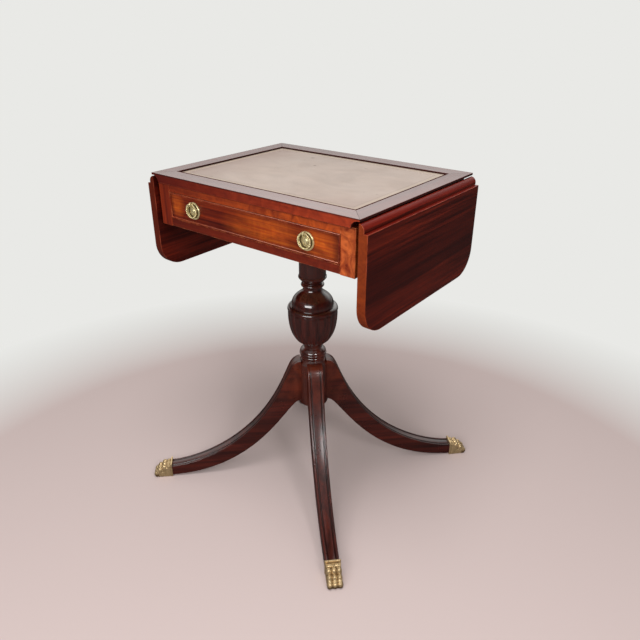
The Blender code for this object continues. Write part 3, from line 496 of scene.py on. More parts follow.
leafWood = polishedWood("ribbonMahoganyLeaf", leafMahogany, alongY, 0.9, leafFigure)
topWoodX = polishedWood("topMahoganyLengthwise", dict(topMahogany, coatIndex=1.8), alongX, 0.4,
                        seed=(0.3, 0.1, 0))
topWoodY = polishedWood("topMahoganyCrosswise", dict(topMahogany, side=shadedLipSides, wornShare=0.1), alongY, 0.4,
                        seed=(0.7, 0.2, 0))
topRailWood = polishedWood("topRailMahogany", topRailMahogany, alongX, 0.6, mottledFront, (0.2, 0.4, 0.1))
bottomRailWood = polishedWood("bottomRailMahogany", bottomRailMahogany, alongX, 0.6, mottledFront,
                              (0.6, 0.1, 0.4))
stileWood = polishedWood("frontStileMahogany", stileMahogany, alongZ, 0.9, mottledFront, (0.5, 0.3, 0.6))
drawerWood = polishedWood("drawerFlameMahogany", drawerMahogany, alongX, 0.8, flameFigure)
beadWood = polishedWood("cockbeadMahogany", cockbeadMahogany, alongX, 0.3, beadPaintedHighlight)
caseWoodX = polishedWood("caseMahoganyLengthwise", ribbonMahogany, alongX, 0.6, seed=(0.1, 0.8, 0.3))
caseWoodY = polishedWood("caseMahoganyCrosswise", ribbonMahogany, alongY, 0.6, seed=(0.4, 0.6, 0.2))
columnWood = polishedWood("turnedMahogany", turnedMahogany, alongZ, 0.6, hubPaintedSheen)
print("stage: polished woods ready")
plainX = polishedWood("secondaryWoodLengthwise", plainTimber, alongX, 0.4, plainStains)
plainY = polishedWood("secondaryWoodCrosswise", plainTimber, alongY, 0.4, plainStains, (0.3, 0.2, 0.5))

# Metals
brassValues = dict(bright=tone(246, 230, 176), dull=tone(100, 82, 38), roughness=0.22, metallic=0.62,
                   spread=0.1, tarnishDulling=0.22, pitting=0.06, pitDepth=0.2 * mm)
castValues = dict(brassValues, bright=tone(230, 200, 152), dull=tone(112, 82, 48), roughness=0.3,
                  metallic=0.7, pitting=0.2)
steelValues = dict(brassValues, bright=tone(188, 188, 190), dull=tone(98, 94, 90), roughness=0.3,
                   metallic=1.0, pitting=0.05)


def metalFinish(name, values):
    material, shader, place = newFinish(name)
    aged = useGroup(tarnish, {"Vector": place, "Hollow": marked(place, "hollow")})
    polish = handled(place, values["roughness"], values["spread"])
    dulling = times(aged["Tarnish"], values["tarnishDulling"])
    feedNode(shader, {
        "Base Color": blended(aged["Tarnish"], values["bright"], values["dull"]),
        "Metallic": values["metallic"],
        "Roughness": maths("ADD", polish, dulling),
        "Normal": bumped(aged["Height"], values["pitting"], values["pitDepth"]),
    })
    return material


brass = metalFinish("polishedBrass", brassValues)
castBrass = metalFinish("castBrass", castValues)
steel = metalFinish("drawnSteel", steelValues)
print("stage: metals and secondary wood ready")

# Top: four mitred rails
topRail = {"ease": 0.8 * mm, "recessShadeReach": 0.8 * mm, "recessShade": 0.85, "arrisShade": 0.6}
topRails = (("front", topWoodX), ("back", topWoodX), ("left", topWoodY), ("right", topWoodY))


def topPaintedShade(form, face, values):
    normal = face.normal
    middle = face.calc_center_median()
    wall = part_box("leather_inset")[1]
    rubbed = face[form.faces.layers.float["edgeWear"]]
    if rubbed and normal.z > 0.2 and abs(normal.y) > 0.25:
        return values["arrisShade"]  # painted shade along the long arrises
    inside = abs(middle.x) < wall.x + values["recessShadeReach"] and abs(middle.y) < wall.y + values["recessShadeReach"]
    if inside and normal.z < 0.9 or normal.z < -0.1 and abs(normal.x) > 0.1:
        return values["recessShade"]  # painted shade on the walls round the leather and in the coves
    return 0


for side, finish in topRails:
    node = f"top_rail_{side}"
    form = easedCopy(node, topRail["ease"], mitred=True)
    markFaces(form, {"paintedShade": lambda face: topPaintedShade(form, face, topRail),
                     "sideFace": lambda face: abs(face.normal.z) < 0.6})
    addPiece(f"topRail_{side}", form, finish, "table_frame", [node], flat=True)

# Dark line let into the frame round the leather
stringing = {"width": 2.8 * mm, "depth": 0.6 * mm, "proud": 0.12 * mm}
stringWood = dict(ribbonMahogany, dark=tone(54, 18, 16), middle=tone(68, 25, 21), light=tone(86, 34, 28),
                  worn=tone(70, 42, 30), wornShare=0.2, ribbonShare=0.5, polish=0.72, coat=0.0, specular=0.0)


def buildStringing(values):
    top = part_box("top_rail_front")[1].z + values["proud"]
    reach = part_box("leather_inset")[1].xy + Vector((1, 1)) * values["width"]
    form = bmesh.new()
    bmesh.ops.create_grid(form, x_segments=1, y_segments=1, size=1)
    bmesh.ops.scale(form, verts=form.verts, vec=(reach.x, reach.y, 1))
    moveBy(form, form.verts, (0, 0, top))
    middle = form.faces[:]
    bmesh.ops.inset_region(form, faces=middle, thickness=values["width"], use_boundary=True,
                           use_even_offset=True)
    bmesh.ops.delete(form, geom=middle, context="FACES")
    bmesh.ops.solidify(form, geom=form.faces[:], thickness=values["depth"])
    level = max(point.co.z for point in form.verts)
    moveBy(form, form.verts, (0, 0, top - level))
    finish = polishedWood("darkStringing", stringWood, alongX, 0.7)
    addPiece("leatherStringing", form, finish, "table_frame", (), flat=True)


buildStringing(stringing)

# Leather: one sheet glued to the ground panel, with a tooled line near its edge
leatherSheet = dict(
    edgeEase=0.5 * mm, lineInset=16 * mm, lineWidth=1.1 * mm, lineDepth=0.25 * mm, line=tone(112, 88, 74),
    lineShare=0.3, border=tone(190, 172, 148), borderShare=0.4, borderFade=6 * mm, base=tone(174, 156, 145),
    pale=tone(188, 169, 157), brown=tone(150, 132, 122), brownShare=0.17, shade=tone(158, 134, 124),
    shadeShare=0.9, shadeStart=0.14,  # how far towards the front right corner
    speck=tone(92, 70, 58), speckShare=0.35,
    marks=((-89 * mm, 113.6 * mm, 5.4 * mm), (-40.4 * mm, 59.6 * mm, 4.4 * mm)),  # place and reach
    markShare=0.75, paintedShade=tone(72, 42, 32), paintedShadeReach=1.6 * mm, paintedShadeShare=0.9, pebbles=620.0,
    pebbleBump=0.12, pebbleDepth=0.15 * mm, polish=0.42, spread=0.12)


def leatherFinish(values, high):
    material, shader, place = newFinish("tanLeather")
    mottle = ranged(cloudy(place, (9, 13, 9), 5.0, 0.8), 0.36, 0.66)
    stain = ranged(cloudy(place, (30, 42, 30), 4.0, 0.5), 0.45, 0.75, 0.0, values["brownShare"])
    colour = blended(mottle, values["base"], values["pale"])
    colour = blended(stain, colour, values["brown"])
    across = axisOf(place, 0)
    along = axisOf(place, 1)
    cornerward = maths("SUBTRACT", times(across, 0.5), along)
    cornerShade = ranged(cornerward, values["shadeStart"], high.x / 2 + high.y)
    leftShade = ranged(across, -high.x / 2, -high.x)
    shade = times(maths("MAXIMUM", cornerShade, leftShade), values["shadeShare"])
    colour = blended(shade, colour, values["shade"])
    fromSide = maths("SUBTRACT", high.x, maths("ABSOLUTE", across))
    fromEnd = maths("SUBTRACT", high.y, maths("ABSOLUTE", along))
    inward = maths("MINIMUM", fromSide, fromEnd)
    inset = values["lineInset"]
    border = ranged(inward, inset, inset - values["borderFade"], 0.0, values["borderShare"])
    colour = blended(border, colour, values["border"])
    fromLine = maths("ABSOLUTE", maths("SUBTRACT", inward, inset))
    line = ranged(fromLine, values["lineWidth"], values["lineWidth"] / 2, 0.0, values["lineShare"])
    colour = blended(line, colour, values["line"])
    # Painted shade: the leather darkens towards its edge along the frame's wall
    paintedShade = ranged(inward, values["paintedShadeReach"], 0, 0.0, values["paintedShadeShare"])
    colour = blended(paintedShade, colour, values["paintedShade"])
    for acrossPlace, alongPlace, reach in values["marks"]:
        distance = fromSpot(place, (acrossPlace, alongPlace, 0), (reach, reach, 0))
        mark = ranged(distance, 1.0, 0.2, 0.0, values["markShare"])
        colour = blended(mark, colour, values["speck"])
    specks = ranged(cloudy(place, (95, 95, 95), 1.0), 0.76, 0.8, 0.0, values["speckShare"])
    cells = addNode("TexVoronoi", {"Vector": place, "Scale": values["pebbles"]},
                    feature="DISTANCE_TO_EDGE")
    pebble = ranged(cells.outputs["Distance"], 0.0, 0.25)
    feedNode(shader, {
        "Base Color": blended(specks, colour, values["speck"]),
        "Roughness": handled(place, values["polish"], values["spread"]),
        "Normal": bumped(pebble, values["pebbleBump"], values["pebbleDepth"]),
    })
    return material


def buildLeather(values):
    low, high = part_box("leather_inset")
    form = boxForm(low, high)
    upper = max(form.faces, key=lambda face: face.calc_center_median().z)
    roundEdges(form, list(upper.edges), values["edgeEase"])
    upper = max(form.faces, key=lambda face: face.calc_area() * (face.normal.z > 0.5))
    half = values["lineWidth"] / 2
    for inset in (values["lineInset"], half):
        bmesh.ops.inset_region(form, faces=[upper], thickness=inset, use_even_offset=True)
    valley = list(upper.verts)
    bmesh.ops.inset_region(form, faces=[upper], thickness=half, use_even_offset=True)
    moveBy(form, valley, (0, 0, -values["lineDepth"]))
    finish = leatherFinish(values, high)
    piece = addPiece("leatherTop", form, finish, "table_frame", ["leather_inset"], flat=True)


buildLeather(leatherSheet)
print("stage: top and leather built")

# Leaves, eased all round as the rule joint leaves them
leaf = {"ease": 1.1 * mm}
for side in sides:
    form = easedCopy(f"{side}_leaf", leaf["ease"])
    markFaces(form, {"sideFace": lambda face: abs(face.normal.y) > 0.6 or face.normal.z < -0.6,
                     "upperSide": lambda face: face.normal.z > 0.15})
    addPiece(f"leaf_{side}", form, leafWood, f"{side}_leaf_body", [f"{side}_leaf"], flat=True)


def addBoards(prefix, rows, edges, body):
    for nodes, finish, edge, slot in rows:
        for node in nodes.split():
            form = easedCopy(node, edges[edge])
            if edge == "bead":  # only the bead's upper slope takes the painted highlight
                markFaces(form, {"upperSide": lambda face: face.normal.z > 0.35 and face.normal.y < -0.1})
            addPiece(f"{prefix}_{node}", form, finish, body, [node], flat=True)


# Case: stiles and rails at the front, plain boards behind
caseEdges = {"front": 0.7 * mm, "bottomRail": 1.3 * mm, "boards": 0.6 * mm}
casePieces = (
    ("left_front_stile right_front_stile", stileWood, "front", "flame_mahogany"),
    ("top_front_rail", topRailWood, "front", "flame_mahogany"),
    ("bottom_front_rail", bottomRailWood, "bottomRail", "flame_mahogany"),
    ("left_side right_side", caseWoodY, "boards", "mahogany"),
    ("back_panel", caseWoodX, "boards", "mahogany"),
    ("left_fly_bracket right_fly_bracket", caseWoodY, "boards", "mahogany"),
    ("case_bottom column_cleat", plainX, "boards", "secondary_wood"),
    ("left_runner right_runner", plainY, "boards", "secondary_wood"),
    ("top_panel", plainX, "boards", "secondary_wood"),
)
addBoards("case", casePieces, caseEdges, "table_frame")
print("stage: leaves and case built")

# Drawer: front, bead and box
drawerEdges = {"front": 0.3 * mm, "bead": 1.2 * mm, "box": 0.8 * mm}
drawerPieces = (
    ("drawer_front", drawerWood, "front", "flame_mahogany"),
    ("cockbead", beadWood, "bead", "mahogany"),
    ("drawer_left_side drawer_right_side", plainY, "box", "secondary_wood"),
    ("drawer_back drawer_bottom", plainX, "box", "secondary_wood"),
    ("left_silver_divider right_silver_divider", plainY, "box", "secondary_wood"),
)
addBoards("fitted", drawerPieces, drawerEdges, "drawer_body")

# Felt: one sheet laid on the drawer's floor
feltSheet = dict(
    ease=0.6 * mm, base=tone(58, 44, 38), light=tone(84, 66, 56), roughness=0.95, sheen=0.4, fuzzBump=0.5,
    fuzzDepth=0.5 * mm)


def feltFinish(values):
    material, shader, place = newFinish("brownFelt")
    fuzz = cloudy(place, (850, 850, 850), 3.0, 0.6)
    brushed = ranged(cloudy(place, (14, 26, 14), 4.0, 0.8), 0.35, 0.68)
    share = maths("ADD", times(brushed, 0.5), times(fuzz, 0.5))
    feedNode(shader, {
        "Base Color": blended(share, values["base"], values["light"]),
        "Roughness": values["roughness"],
        "Sheen Weight": values["sheen"],
        "Normal": bumped(fuzz, values["fuzzBump"], values["fuzzDepth"]),
    })
    return material


def buildFelt(values):
    low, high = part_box("felt_lining")
    form = boxForm(low, high)
    roundEdges(form, form.edges[:], values["ease"], 2)
    finish = feltFinish(values)
    piece = addPiece("feltLining", form, finish, "drawer_body", ["felt_lining"], flat=True)


buildFelt(feltSheet)
print("stage: drawer built")

# Ring pulls: a dished plate, a beaded ring and the eye it hangs in
pull = dict(
    share=0.93,  # plate and ring against the solids, after the photograph
    rimWidth=3.1 * mm, rimHeight=2.9 * mm, dishDepth=0.9 * mm, dishRise=0.6 * mm, dishTarnish=0.9,
    bossRadius=7 * mm, bossHeight=5.6 * mm, bossFoot=0.9 * mm, beads=28, beadSteps=10, beadWaist=0.66,
    beadSwell=0.6, wire=1.65 * mm, eyeWire=0.8 * mm, eyeWidth=2.2, shank=1.9 * mm, shankSink=0.9 * mm)


def plateProfile(values, radius):  # from the back round the edge and rim to the dish and boss
    halfRim = values["rimWidth"] / 2
    rimMiddle = radius - halfRim
    inner = rimMiddle - halfRim
    floor = values["dishDepth"]
    foot = floor + values["bossFoot"]
    profile = [(0, 0), (radius - 0.4 * mm, 0), (radius, 0.5 * mm)]
    profile += arcProfile(rimMiddle, floor, halfRim, values["rimHeight"] - floor, 12, 168, 10)
    profile += [(inner - 0.5 * mm, floor + 0.25 * mm), (inner - 1.2 * mm, floor)]
    profile += [(inner * 0.72, floor + 0.5 * mm), (values["bossRadius"] * 1.35, foot)]
    profile += arcProfile(0, foot, values["bossRadius"], values["bossHeight"] - foot, 0, 84, 9)
    return profile + [(0, values["bossHeight"])]


def faceFront(form, middle):
    turnAbout(form, form.verts, quarterTurn, "X")
    moveBy(form, form.verts, middle)


def buildPlate(values, side):
    low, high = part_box(f"{side}_pull_plate")
    plateRadius = (high.x - low.x) / 2 * values["share"]
    form = spunForm(plateProfile(values, plateRadius), 64)
    hollow = form.verts.layers.float.new("hollow")
    for point in form.verts:
        sunk = point.co.z < values["dishDepth"] + values["dishRise"]
        within = point.co.xy.length < plateRadius - values["rimWidth"] * 0.8
        point[hollow] = values["dishTarnish"] if sunk and within else 0
    faceFront(form, Vector(((low.x + high.x) / 2, high.y, (low.z + high.z) / 2)))
    addPiece(f"pullPlate_{side}", form, brass, "drawer_body", [f"{side}_pull_plate"])


def buildRing(values, side):
    low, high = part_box(f"{side}_pull_ring")
    reach = (high.x - low.x) / 2 * values["share"]
    middle = (low + high) / 2
    middle.z = high.z - reach
    radius = reach - values["wire"]
    wire = arcProfile(radius, 0, values["wire"], values["wire"], 0, 342, 19)
    form = spunForm(wire, values["beads"] * values["beadSteps"], closed=True)
    waist = values["beadWaist"]
    for point in form.verts:
        angle = math.atan2(point.co.y, point.co.x)
        centre = Vector((math.cos(angle), math.sin(angle), 0)) * radius
        swell = abs(math.cos(angle * values["beads"] / 2)) ** values["beadSwell"]
        point.co = centre + (point.co - centre) * (waist + (1 - waist) * swell)
    faceFront(form, middle)
    addPiece(f"pullRing_{side}", form, brass, f"{side}_ring_body", [f"{side}_pull_ring"], 60)


def buildEye(values, side):
    low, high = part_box(f"{side}_pull_post")
    plateLow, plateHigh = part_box(f"{side}_pull_plate")
    outer = (high.z - low.z) / 2
    wire = values["eyeWire"]
    loop = arcProfile(outer - wire, 0, wire, wire * values["eyeWidth"], 0, 337.5, 15)
    form = spunForm(loop, 40, closed=True)
    turnAbout(form, form.verts, quarterTurn, "Y")
    middle = Vector(((plateLow.x + plateHigh.x) / 2, low.y + outer, (low.z + high.z) / 2))
    moveBy(form, form.verts, middle)
    shankFront = middle.y + outer - values["shankSink"]
    shank = bmesh.ops.create_cone(form, cap_ends=True, segments=20, radius1=values["shank"],
                                  radius2=values["shank"], depth=high.y - shankFront)["verts"]
    turnAbout(form, shank, quarterTurn, "X")
    moveBy(form, shank, (middle.x, (high.y + shankFront) / 2, middle.z))
    addPiece(f"pullEye_{side}", form, brass, "drawer_body", [f"{side}_pull_post"])


for side in sides:
    buildPlate(pull, side)
    buildRing(pull, side)
    buildEye(pull, side)
print("stage: pulls built")

# Column, turned from the hub up: points are a radius and a height, and follow the solid
turning = dict(
    steps=144, reeds=18, reedDepth=2.4 * mm, reedFade=9 * mm,
    reedStop=1 * mm, reedRound=0.3,  # share of a reed's width taken by its round top
    hubRadius=33.3 * mm, hubBottom=180 * mm, hubFillet=4 * mm, hubTop=284.5 * mm, hubEase=2 * mm,
    collar=25.5 * mm, ringGap=0.4 * mm, lowerRing=(293.5 * mm, 302.1 * mm, 28 * mm),  # bottom, top and radius
    upperRing=(302.5 * mm, 309.8 * mm, 29.6 * mm), cushionEdge=Vector((28.6, 310.2)) * mm,
    cushionNeck=Vector((20, 320.5)) * mm, urnFoot=Vector((22, 329)) * mm, urnEdge=Vector((53.6, 412)) * mm,
    rimWidth=6.5 * mm, rimOut=0.4 * mm, rimLift=1.6 * mm, domeEdge=Vector((45.2, 420.5)) * mm,
    domeNeck=Vector((19.6, 459.5)) * mm, neckBead=(463.5 * mm, 472 * mm, 24.6 * mm), neckSwell=0.2 * mm,
    cupFoot=Vector((19.6, 473)) * mm, cupLip=Vector((29.8, 484.5)) * mm, shaft=28.2 * mm, capital=40 * mm,
    capitalGap=0.3 * mm, capitalDrop=12 * mm, capitalRise=6 * mm, capitalEase=3 * mm, flareInset=1 * mm,
    tenon=18 * mm)
turningHandles = {  # how far each curve's handles reach out and up from its ends
    "cushion": (Vector((-0.2, 3.5)) * mm, Vector((4, -2.5)) * mm),
    "urn": (Vector((7.2, 7.8)) * mm, Vector((0, -70)) * mm),
    "dome": (Vector((0.7, 25.4)) * mm, Vector((2.8, -12.1)) * mm),
    "cup": (Vector((3.6, 3.4)) * mm, Vector((-2.4, -3.6)) * mm),
}
turningSteps = {  # millimetres out and up from a point
    "cushionNeck": ((-0.3, 1.5), (-0.4, 4), (0.2, 6.6)),
    "urnEdge": ((-0.9, 0.4),),
    "cupLip": ((0, 2.9), (-0.6, 3.5)),
    "shaft": ((0.2, 3.9), (0, 5)),
}


def beadProfile(bottom, top, crest, groove, steps):
    half = (top - bottom) / 2
    return arcProfile(groove, bottom + half, crest - groove, half * 0.96, -88, 88, steps)


def turnedCurve(values, name, first, last, steps):
    firstReach, lastReach = turningHandles[name]
    return bezier(values[first], values[first] + firstReach, values[last] + lastReach, values[last], steps)


def turnedSteps(name, point):
    return [point + Vector(step) * mm for step in turningSteps[name]]


def columnProfile(values):
    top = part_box("column")[1].z
    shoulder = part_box("column_cleat")[0].z - values["capitalGap"]
    hub, bottom, fillet, ease = (values[name] for name in ("hubRadius", "hubBottom", "hubFillet", "hubEase"))
    collar, urnEdge, lip, shaft = (values[name] for name in ("collar", "urnEdge", "cupLip", "shaft"))
    rim = values["rimWidth"]
    rimFoot = urnEdge.y + values["rimLift"]
    edge = values["capitalEase"]
    fall = shoulder - values["capitalDrop"]
    flareEdge = values["capital"] - values["flareInset"]
    profile = [(0, bottom)]
    profile += arcProfile(hub - fillet, bottom + fillet, fillet, fillet, -90, 0, 7)
    profile += arcProfile(hub - ease, values["hubTop"] - ease, ease, ease, 0, 60, 4)
    profile += [(collar, values["lowerRing"][0] - values["ringGap"])]
    profile += beadProfile(*values["lowerRing"], collar, 9)
    profile += beadProfile(*values["upperRing"], collar, 9)
    profile += turnedCurve(values, "cushion", "cushionEdge", "cushionNeck", 12)
    profile += turnedSteps("cushionNeck", values["cushionNeck"])
    profile += turnedCurve(values, "urn", "urnFoot", "urnEdge", 42)
    profile += turnedSteps("urnEdge", urnEdge)
    profile += arcProfile(urnEdge.x + values["rimOut"] - rim, rimFoot, rim, values["domeEdge"].y - rimFoot,
                          -12, 88, 12)
    profile += turnedCurve(values, "dome", "domeEdge", "domeNeck", 30)
    profile += beadProfile(*values["neckBead"], values["domeNeck"].x + values["neckSwell"], 10)
    profile += turnedCurve(values, "cup", "cupFoot", "cupLip", 10)
    profile += turnedSteps("cupLip", lip) + turnedSteps("shaft", Vector((shaft, lip.y)))
    profile += [(shaft, fall)]
    profile += arcProfile(flareEdge, fall, flareEdge - shaft, values["capitalRise"], 180, 90, 6)
    profile += arcProfile(values["capital"] - edge, shoulder - edge, edge, edge, -90, 90, 8)
    return profile + [(values["tenon"], shoulder), (values["tenon"], top), (0, top)]


def reedCut(values, angle, height):
    roundTop = math.tau * values["urnEdge"].x / values["reeds"] * values["reedRound"]
    across = (angle * values["reeds"] / math.tau) % 1 * 2 - 1
    over = max(0, height - (values["urnEdge"].y - values["reedStop"] - roundTop)) / roundTop
    out = min(1, math.hypot(across, over))
    fade = clamped((height - values["urnFoot"].y) / values["reedFade"])
    return values["reedDepth"] * (1 - math.sqrt(1 - out * out)) * fade


def buildColumn(values):
    form = spunForm(columnProfile(values), values["steps"])
    for point in form.verts:
        if values["urnFoot"].y <= point.co.z <= values["urnEdge"].y + samePoint:
            flat = Vector((point.co.x, point.co.y, 0))
            cut = reedCut(values, math.atan2(flat.y, flat.x), point.co.z)
            point.co -= flat.normalized() * cut
    addPiece("turnedColumn", form, columnWood, "table_frame", ["column"], 32)


buildColumn(turning)
print("stage: column built")

# Legs: sections of the sabre curve, reeded along the top, bridged from hub to heel
legShape = dict(
    stations=64, hubWidth=34 * mm, toeWidth=28 * mm, reed=5 * mm, groove=3 * mm, grooveDepth=2.3 * mm,
    reedSink=0.2 * mm, grooveSink=0.3 * mm, grooveShade=0.7,
    grooveShadeFrom=0.8,  # reed widths in from the leg's side
    reedStart=47 * mm, reedFade=11 * mm, crown=0.7 * mm, ease=1.4 * mm, start=28.4 * mm,
    shoulder=Vector((30, 291)) * mm,  # points are a distance from the column's axis and a height
    knee=Vector((73.5, 223)) * mm, heelTop=Vector((333.5, 29)) * mm, heelBottom=Vector((333.5, 3)) * mm,
    root=192 * mm, undercut=Vector((40, 186.5)) * mm)
legHandles = dict(
    shoulder=Vector((22, -5.5)) * mm, intoKnee=Vector((-25, 53.75)) * mm,
    outOfKnee=Vector((79, -169.85)) * mm, heel=Vector((-26, -1)) * mm, undercut=Vector((34, -30)) * mm,
    sole=Vector((-190, 4.2)) * mm)
corners = (("front_left", -1, -1), ("front_right", 1, -1), ("back_left", -1, 1), ("back_right", 1, 1))


def legCurves(values, handles):
    names = ("shoulder", "knee", "heelTop", "heelBottom", "undercut")
    shoulder, knee, heelTop, heelBottom, undercut = (values[name] for name in names)
    top = [Vector((values["start"], shoulder.y))]
    top += bezier(shoulder, shoulder + handles["shoulder"], knee + handles["intoKnee"], knee, 20)
    top += bezier(knee, knee + handles["outOfKnee"], heelTop + handles["heel"], heelTop, 40)[1:]
    bottom = [Vector((values["start"], values["root"]))]
    bottom += bezier(undercut, undercut + handles["undercut"], heelBottom + handles["sole"], heelBottom, 40)
    return top, bottom


def evenPoints(points, count):
    lengths = [0]
    for first, second in zip(points, points[1:]):
        lengths.append(lengths[-1] + (second - first).length)
    even = []
    for step in range(count):
        target = lengths[-1] * step / (count - 1)
        place = max(index for index, length in enumerate(lengths[:-1]) if length <= target + 1e-12)
        share = (target - lengths[place]) / (lengths[place + 1] - lengths[place])
        even.append(points[place].lerp(points[place + 1], min(1, share)))
    return even


def reedProfile(values, half):
    radius = values["reed"] / 2
    inner = half - values["reed"] - values["groove"]
    depth = values["grooveDepth"]
    points = []
    for step in range(9):
        angle = math.pi * step / 8
        across = half - radius + radius * math.cos(angle)
        points.append((across, -depth * (1 - math.sin(angle)) - values["reedSink"]))
    points.append((inner + values["groove"] * 0.5, -depth - values["grooveSink"]))
    points.append((inner + values["groove"] * 0.15, -depth * 0.8))
    for share in (1, 0.94, 0.75, 0.5, 0.25):
        points.append((inner * share, -values["crown"] * share**2))
    points.append((0, 0))
    return points + [(-across, drop) for across, drop in reversed(points[:-1])]


def legHalf(values, reach):
    share = reach / values["heelTop"].x
    return (values["hubWidth"] + (values["toeWidth"] - values["hubWidth"]) * share) / 2


def darkenGrooves(form, values):
    # Painted shade: the grooves along the leg's top are darkened
    paintedShade = form.faces.layers.float.new("paintedShade")
    grooveEnd = 1 + values["groove"] / values["reed"]
    for face in form.faces:
        centre = face.calc_center_median()
        reedsIn = (legHalf(values, centre.x) - abs(centre.y)) / values["reed"]
        if centre.x > values["reedStart"] and values["grooveShadeFrom"] < reedsIn < grooveEnd:
            face[paintedShade] = values["grooveShade"]


def buildLegForm(values):
    top, bottom = legCurves(values, legHandles)
    upper = evenPoints(top, values["stations"])
    lower = evenPoints(bottom, values["stations"])
    ease = values["ease"]
    form = bmesh.new()
    loops = []
    for high, low in zip(upper, lower):
        half = legHalf(values, high.x)
        rise = (high - low).normalized()
        sharpness = clamped(1 - (values["reedStart"] - high.x) / values["reedFade"])
        outline = [(across, high + rise * drop * sharpness) for across, drop in reedProfile(values, half)]
        sole = ((-half, ease), (ease - half, 0), (half - ease, 0), (half, ease))
        outline += [(across, low + rise * lift) for across, lift in sole]
        ring = [form.verts.new((point.x, across, point.y)) for across, point in outline]
        loops.append([form.edges.new((ring[index - 1], ring[index])) for index in range(len(ring))])
    for first, second in zip(loops, loops[1:]):
        bmesh.ops.bridge_loops(form, edges=first + second)
    for end in (loops[0], loops[-1]):
        bmesh.ops.contextual_create(form, geom=end)
    darkenGrooves(form, values)
    return form


for name, sideX, sideY in corners:
    toCorner = math.atan2(sideY, sideX)
    form = buildLegForm(legShape)
    turnAbout(form, form.verts, toCorner, "Z")
    finish = polishedWood(f"legMahogany_{name}", legMahogany, (0, 0, -toCorner), 0.5, hubPaintedSheen,
                          (0.2 * sideX, 0.3 * sideY, 0))
    addPiece(f"leg_{name}", form, finish, "table_frame", [f"{name}_leg"], 34)
print("stage: legs built")

# Paws: a cast block with a heel rim, rows of knuckles and toe tips, grown into one skin
paw = dict(
    heel=333.8 * mm, toe=376.5 * mm, halfWidth=16 * mm, toeSpread=10 * mm, pairSpread=14.5 * mm,
    skin=0.6 * mm, hollowGain=12, hollowMost=0.9,
    toeShade=11 * mm,  # the toes' fronts take painted shade below this height
    shadeStart=29 * mm, shadeFade=4 * mm, shadeShare=0.85)
# Blocks, in millimetres: start and end from the heel, inset at each side, height, ease
pawBlocks = (
    (0, 3.4, 0, 34.5, 0.9),
    (1, 20, 0.9, 25, 1.5),
    (1, 12, 1.4, 30, 1.5),
    (8, 34, 0.9, 14.5, 2),
    (8, 29, 2, 19, 2),
    (20, 39.5, 1.2, 8, 2),
)
# Rows of bumps, in millimetres: distance from the heel, height, length, width and height of each bump, count
pawRows = {
    "anklets": (8.5, 27.5, 4.4, 5.2, 4.6, 2),
    "knuckles": (17.5, 22.5, 7, 5.4, 8.6, 3),
    "joints": (28, 16, 6.2, 5.2, 7.6, 3),
    "pads": (33, 12.5, 4.4, 4.9, 5.4, 3),
    "toes": (35.5, 7.2, 7.2, 5.6, 7.8, 3),
}


def buildPawForm(values):
    form = bmesh.new()
    heel = values["heel"]
    for start, end, inset, height, ease in pawBlocks:
        half = values["halfWidth"] - inset * mm
        verts = addBlock(form, (heel + start * mm, -half, 0), (heel + end * mm, half, height * mm))
        edges = {edge for point in verts for edge in point.link_edges}
        roundEdges(form, list(edges), ease * mm)
    for fromHeel, height, length, width, rise, count in pawRows.values():
        spread = values["toeSpread"] if count == 3 else values["pairSpread"]
        for index in range(count):
            ball = bmesh.ops.create_uvsphere(form, u_segments=20, v_segments=14, radius=1)["verts"]
            bmesh.ops.scale(form, verts=ball, vec=Vector((length, width, rise)) * mm)
            moveBy(form, ball, (heel + fromHeel * mm, (index - (count - 1) / 2) * spread, height * mm))
    return form


def grownSkin(form, skin):
    stock = newObject("pawStock", form)
    remesh = stock.modifiers.new("skin", "REMESH")
    remesh.mode = "VOXEL"
    remesh.voxel_size = skin
    relax = stock.modifiers.new("relax", "SMOOTH")
    relax.factor = 0.5
    relax.iterations = 3
    seen = stock.evaluated_get(bpy.context.evaluated_depsgraph_get())
    grown = bpy.data.meshes.new_from_object(seen)
    bpy.data.objects.remove(stock)
    return grown


# Tarnish gathers in the hollows; the toes' fronts near the floor also take painted shade
def pawTarnishAndShade(point, values):
    around = [edge.other_vert(point).co for edge in point.link_edges]
    middle = sum(around, Vector()) / len(around)
    dip = (middle - point.co).dot(point.normal) / values["skin"]
    gathered = min(values["hollowMost"], max(0, dip * values["hollowGain"]))
    underside = clamped((values["toeShade"] - point.co.z) / values["shadeFade"])
    ahead = clamped((point.co.x - values["heel"] - values["shadeStart"]) / values["shadeFade"])
    return max(gathered, values["shadeShare"] * underside * ahead)


def buildPaws(values):
    grown = grownSkin(buildPawForm(values), values["skin"])
    for name, sideX, sideY in corners:
        form = bmesh.new()
        form.from_mesh(grown)
        for point in form.verts:
            point.co.z = max(point.co.z, 0)
            point.co.x = min(max(point.co.x, values["heel"]), values["toe"])
        bmesh.ops.recalc_face_normals(form, faces=form.faces)
        form.normal_update()
        hollow = form.verts.layers.float.new("hollow")
        for point in form.verts:
            point[hollow] = pawTarnishAndShade(point, values)
        turnAbout(form, form.verts, math.atan2(sideY, sideX), "Z")
        addPiece(f"paw_{name}", form, castBrass, "table_frame", [f"{name}_paw"], 70)


buildPaws(paw)
print("stage: paws built")


# Hinges and pins: the solids' shapes are right, so they keep them and take a finish
def dressSolid(node, finish):
    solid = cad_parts[node]
    solid.data.materials.clear()
    solid.data.materials.append(finish)


for side in sides:
    for end in ends:
        for part in ("top_plate", "leaf_plate"):
            dressSolid(f"{side}_{end}_hinge_{part}", brass)
        dressSolid(f"{side}_{end}_hinge_pin", steel)
    dressSolid(f"{side}_bracket_pin", steel)

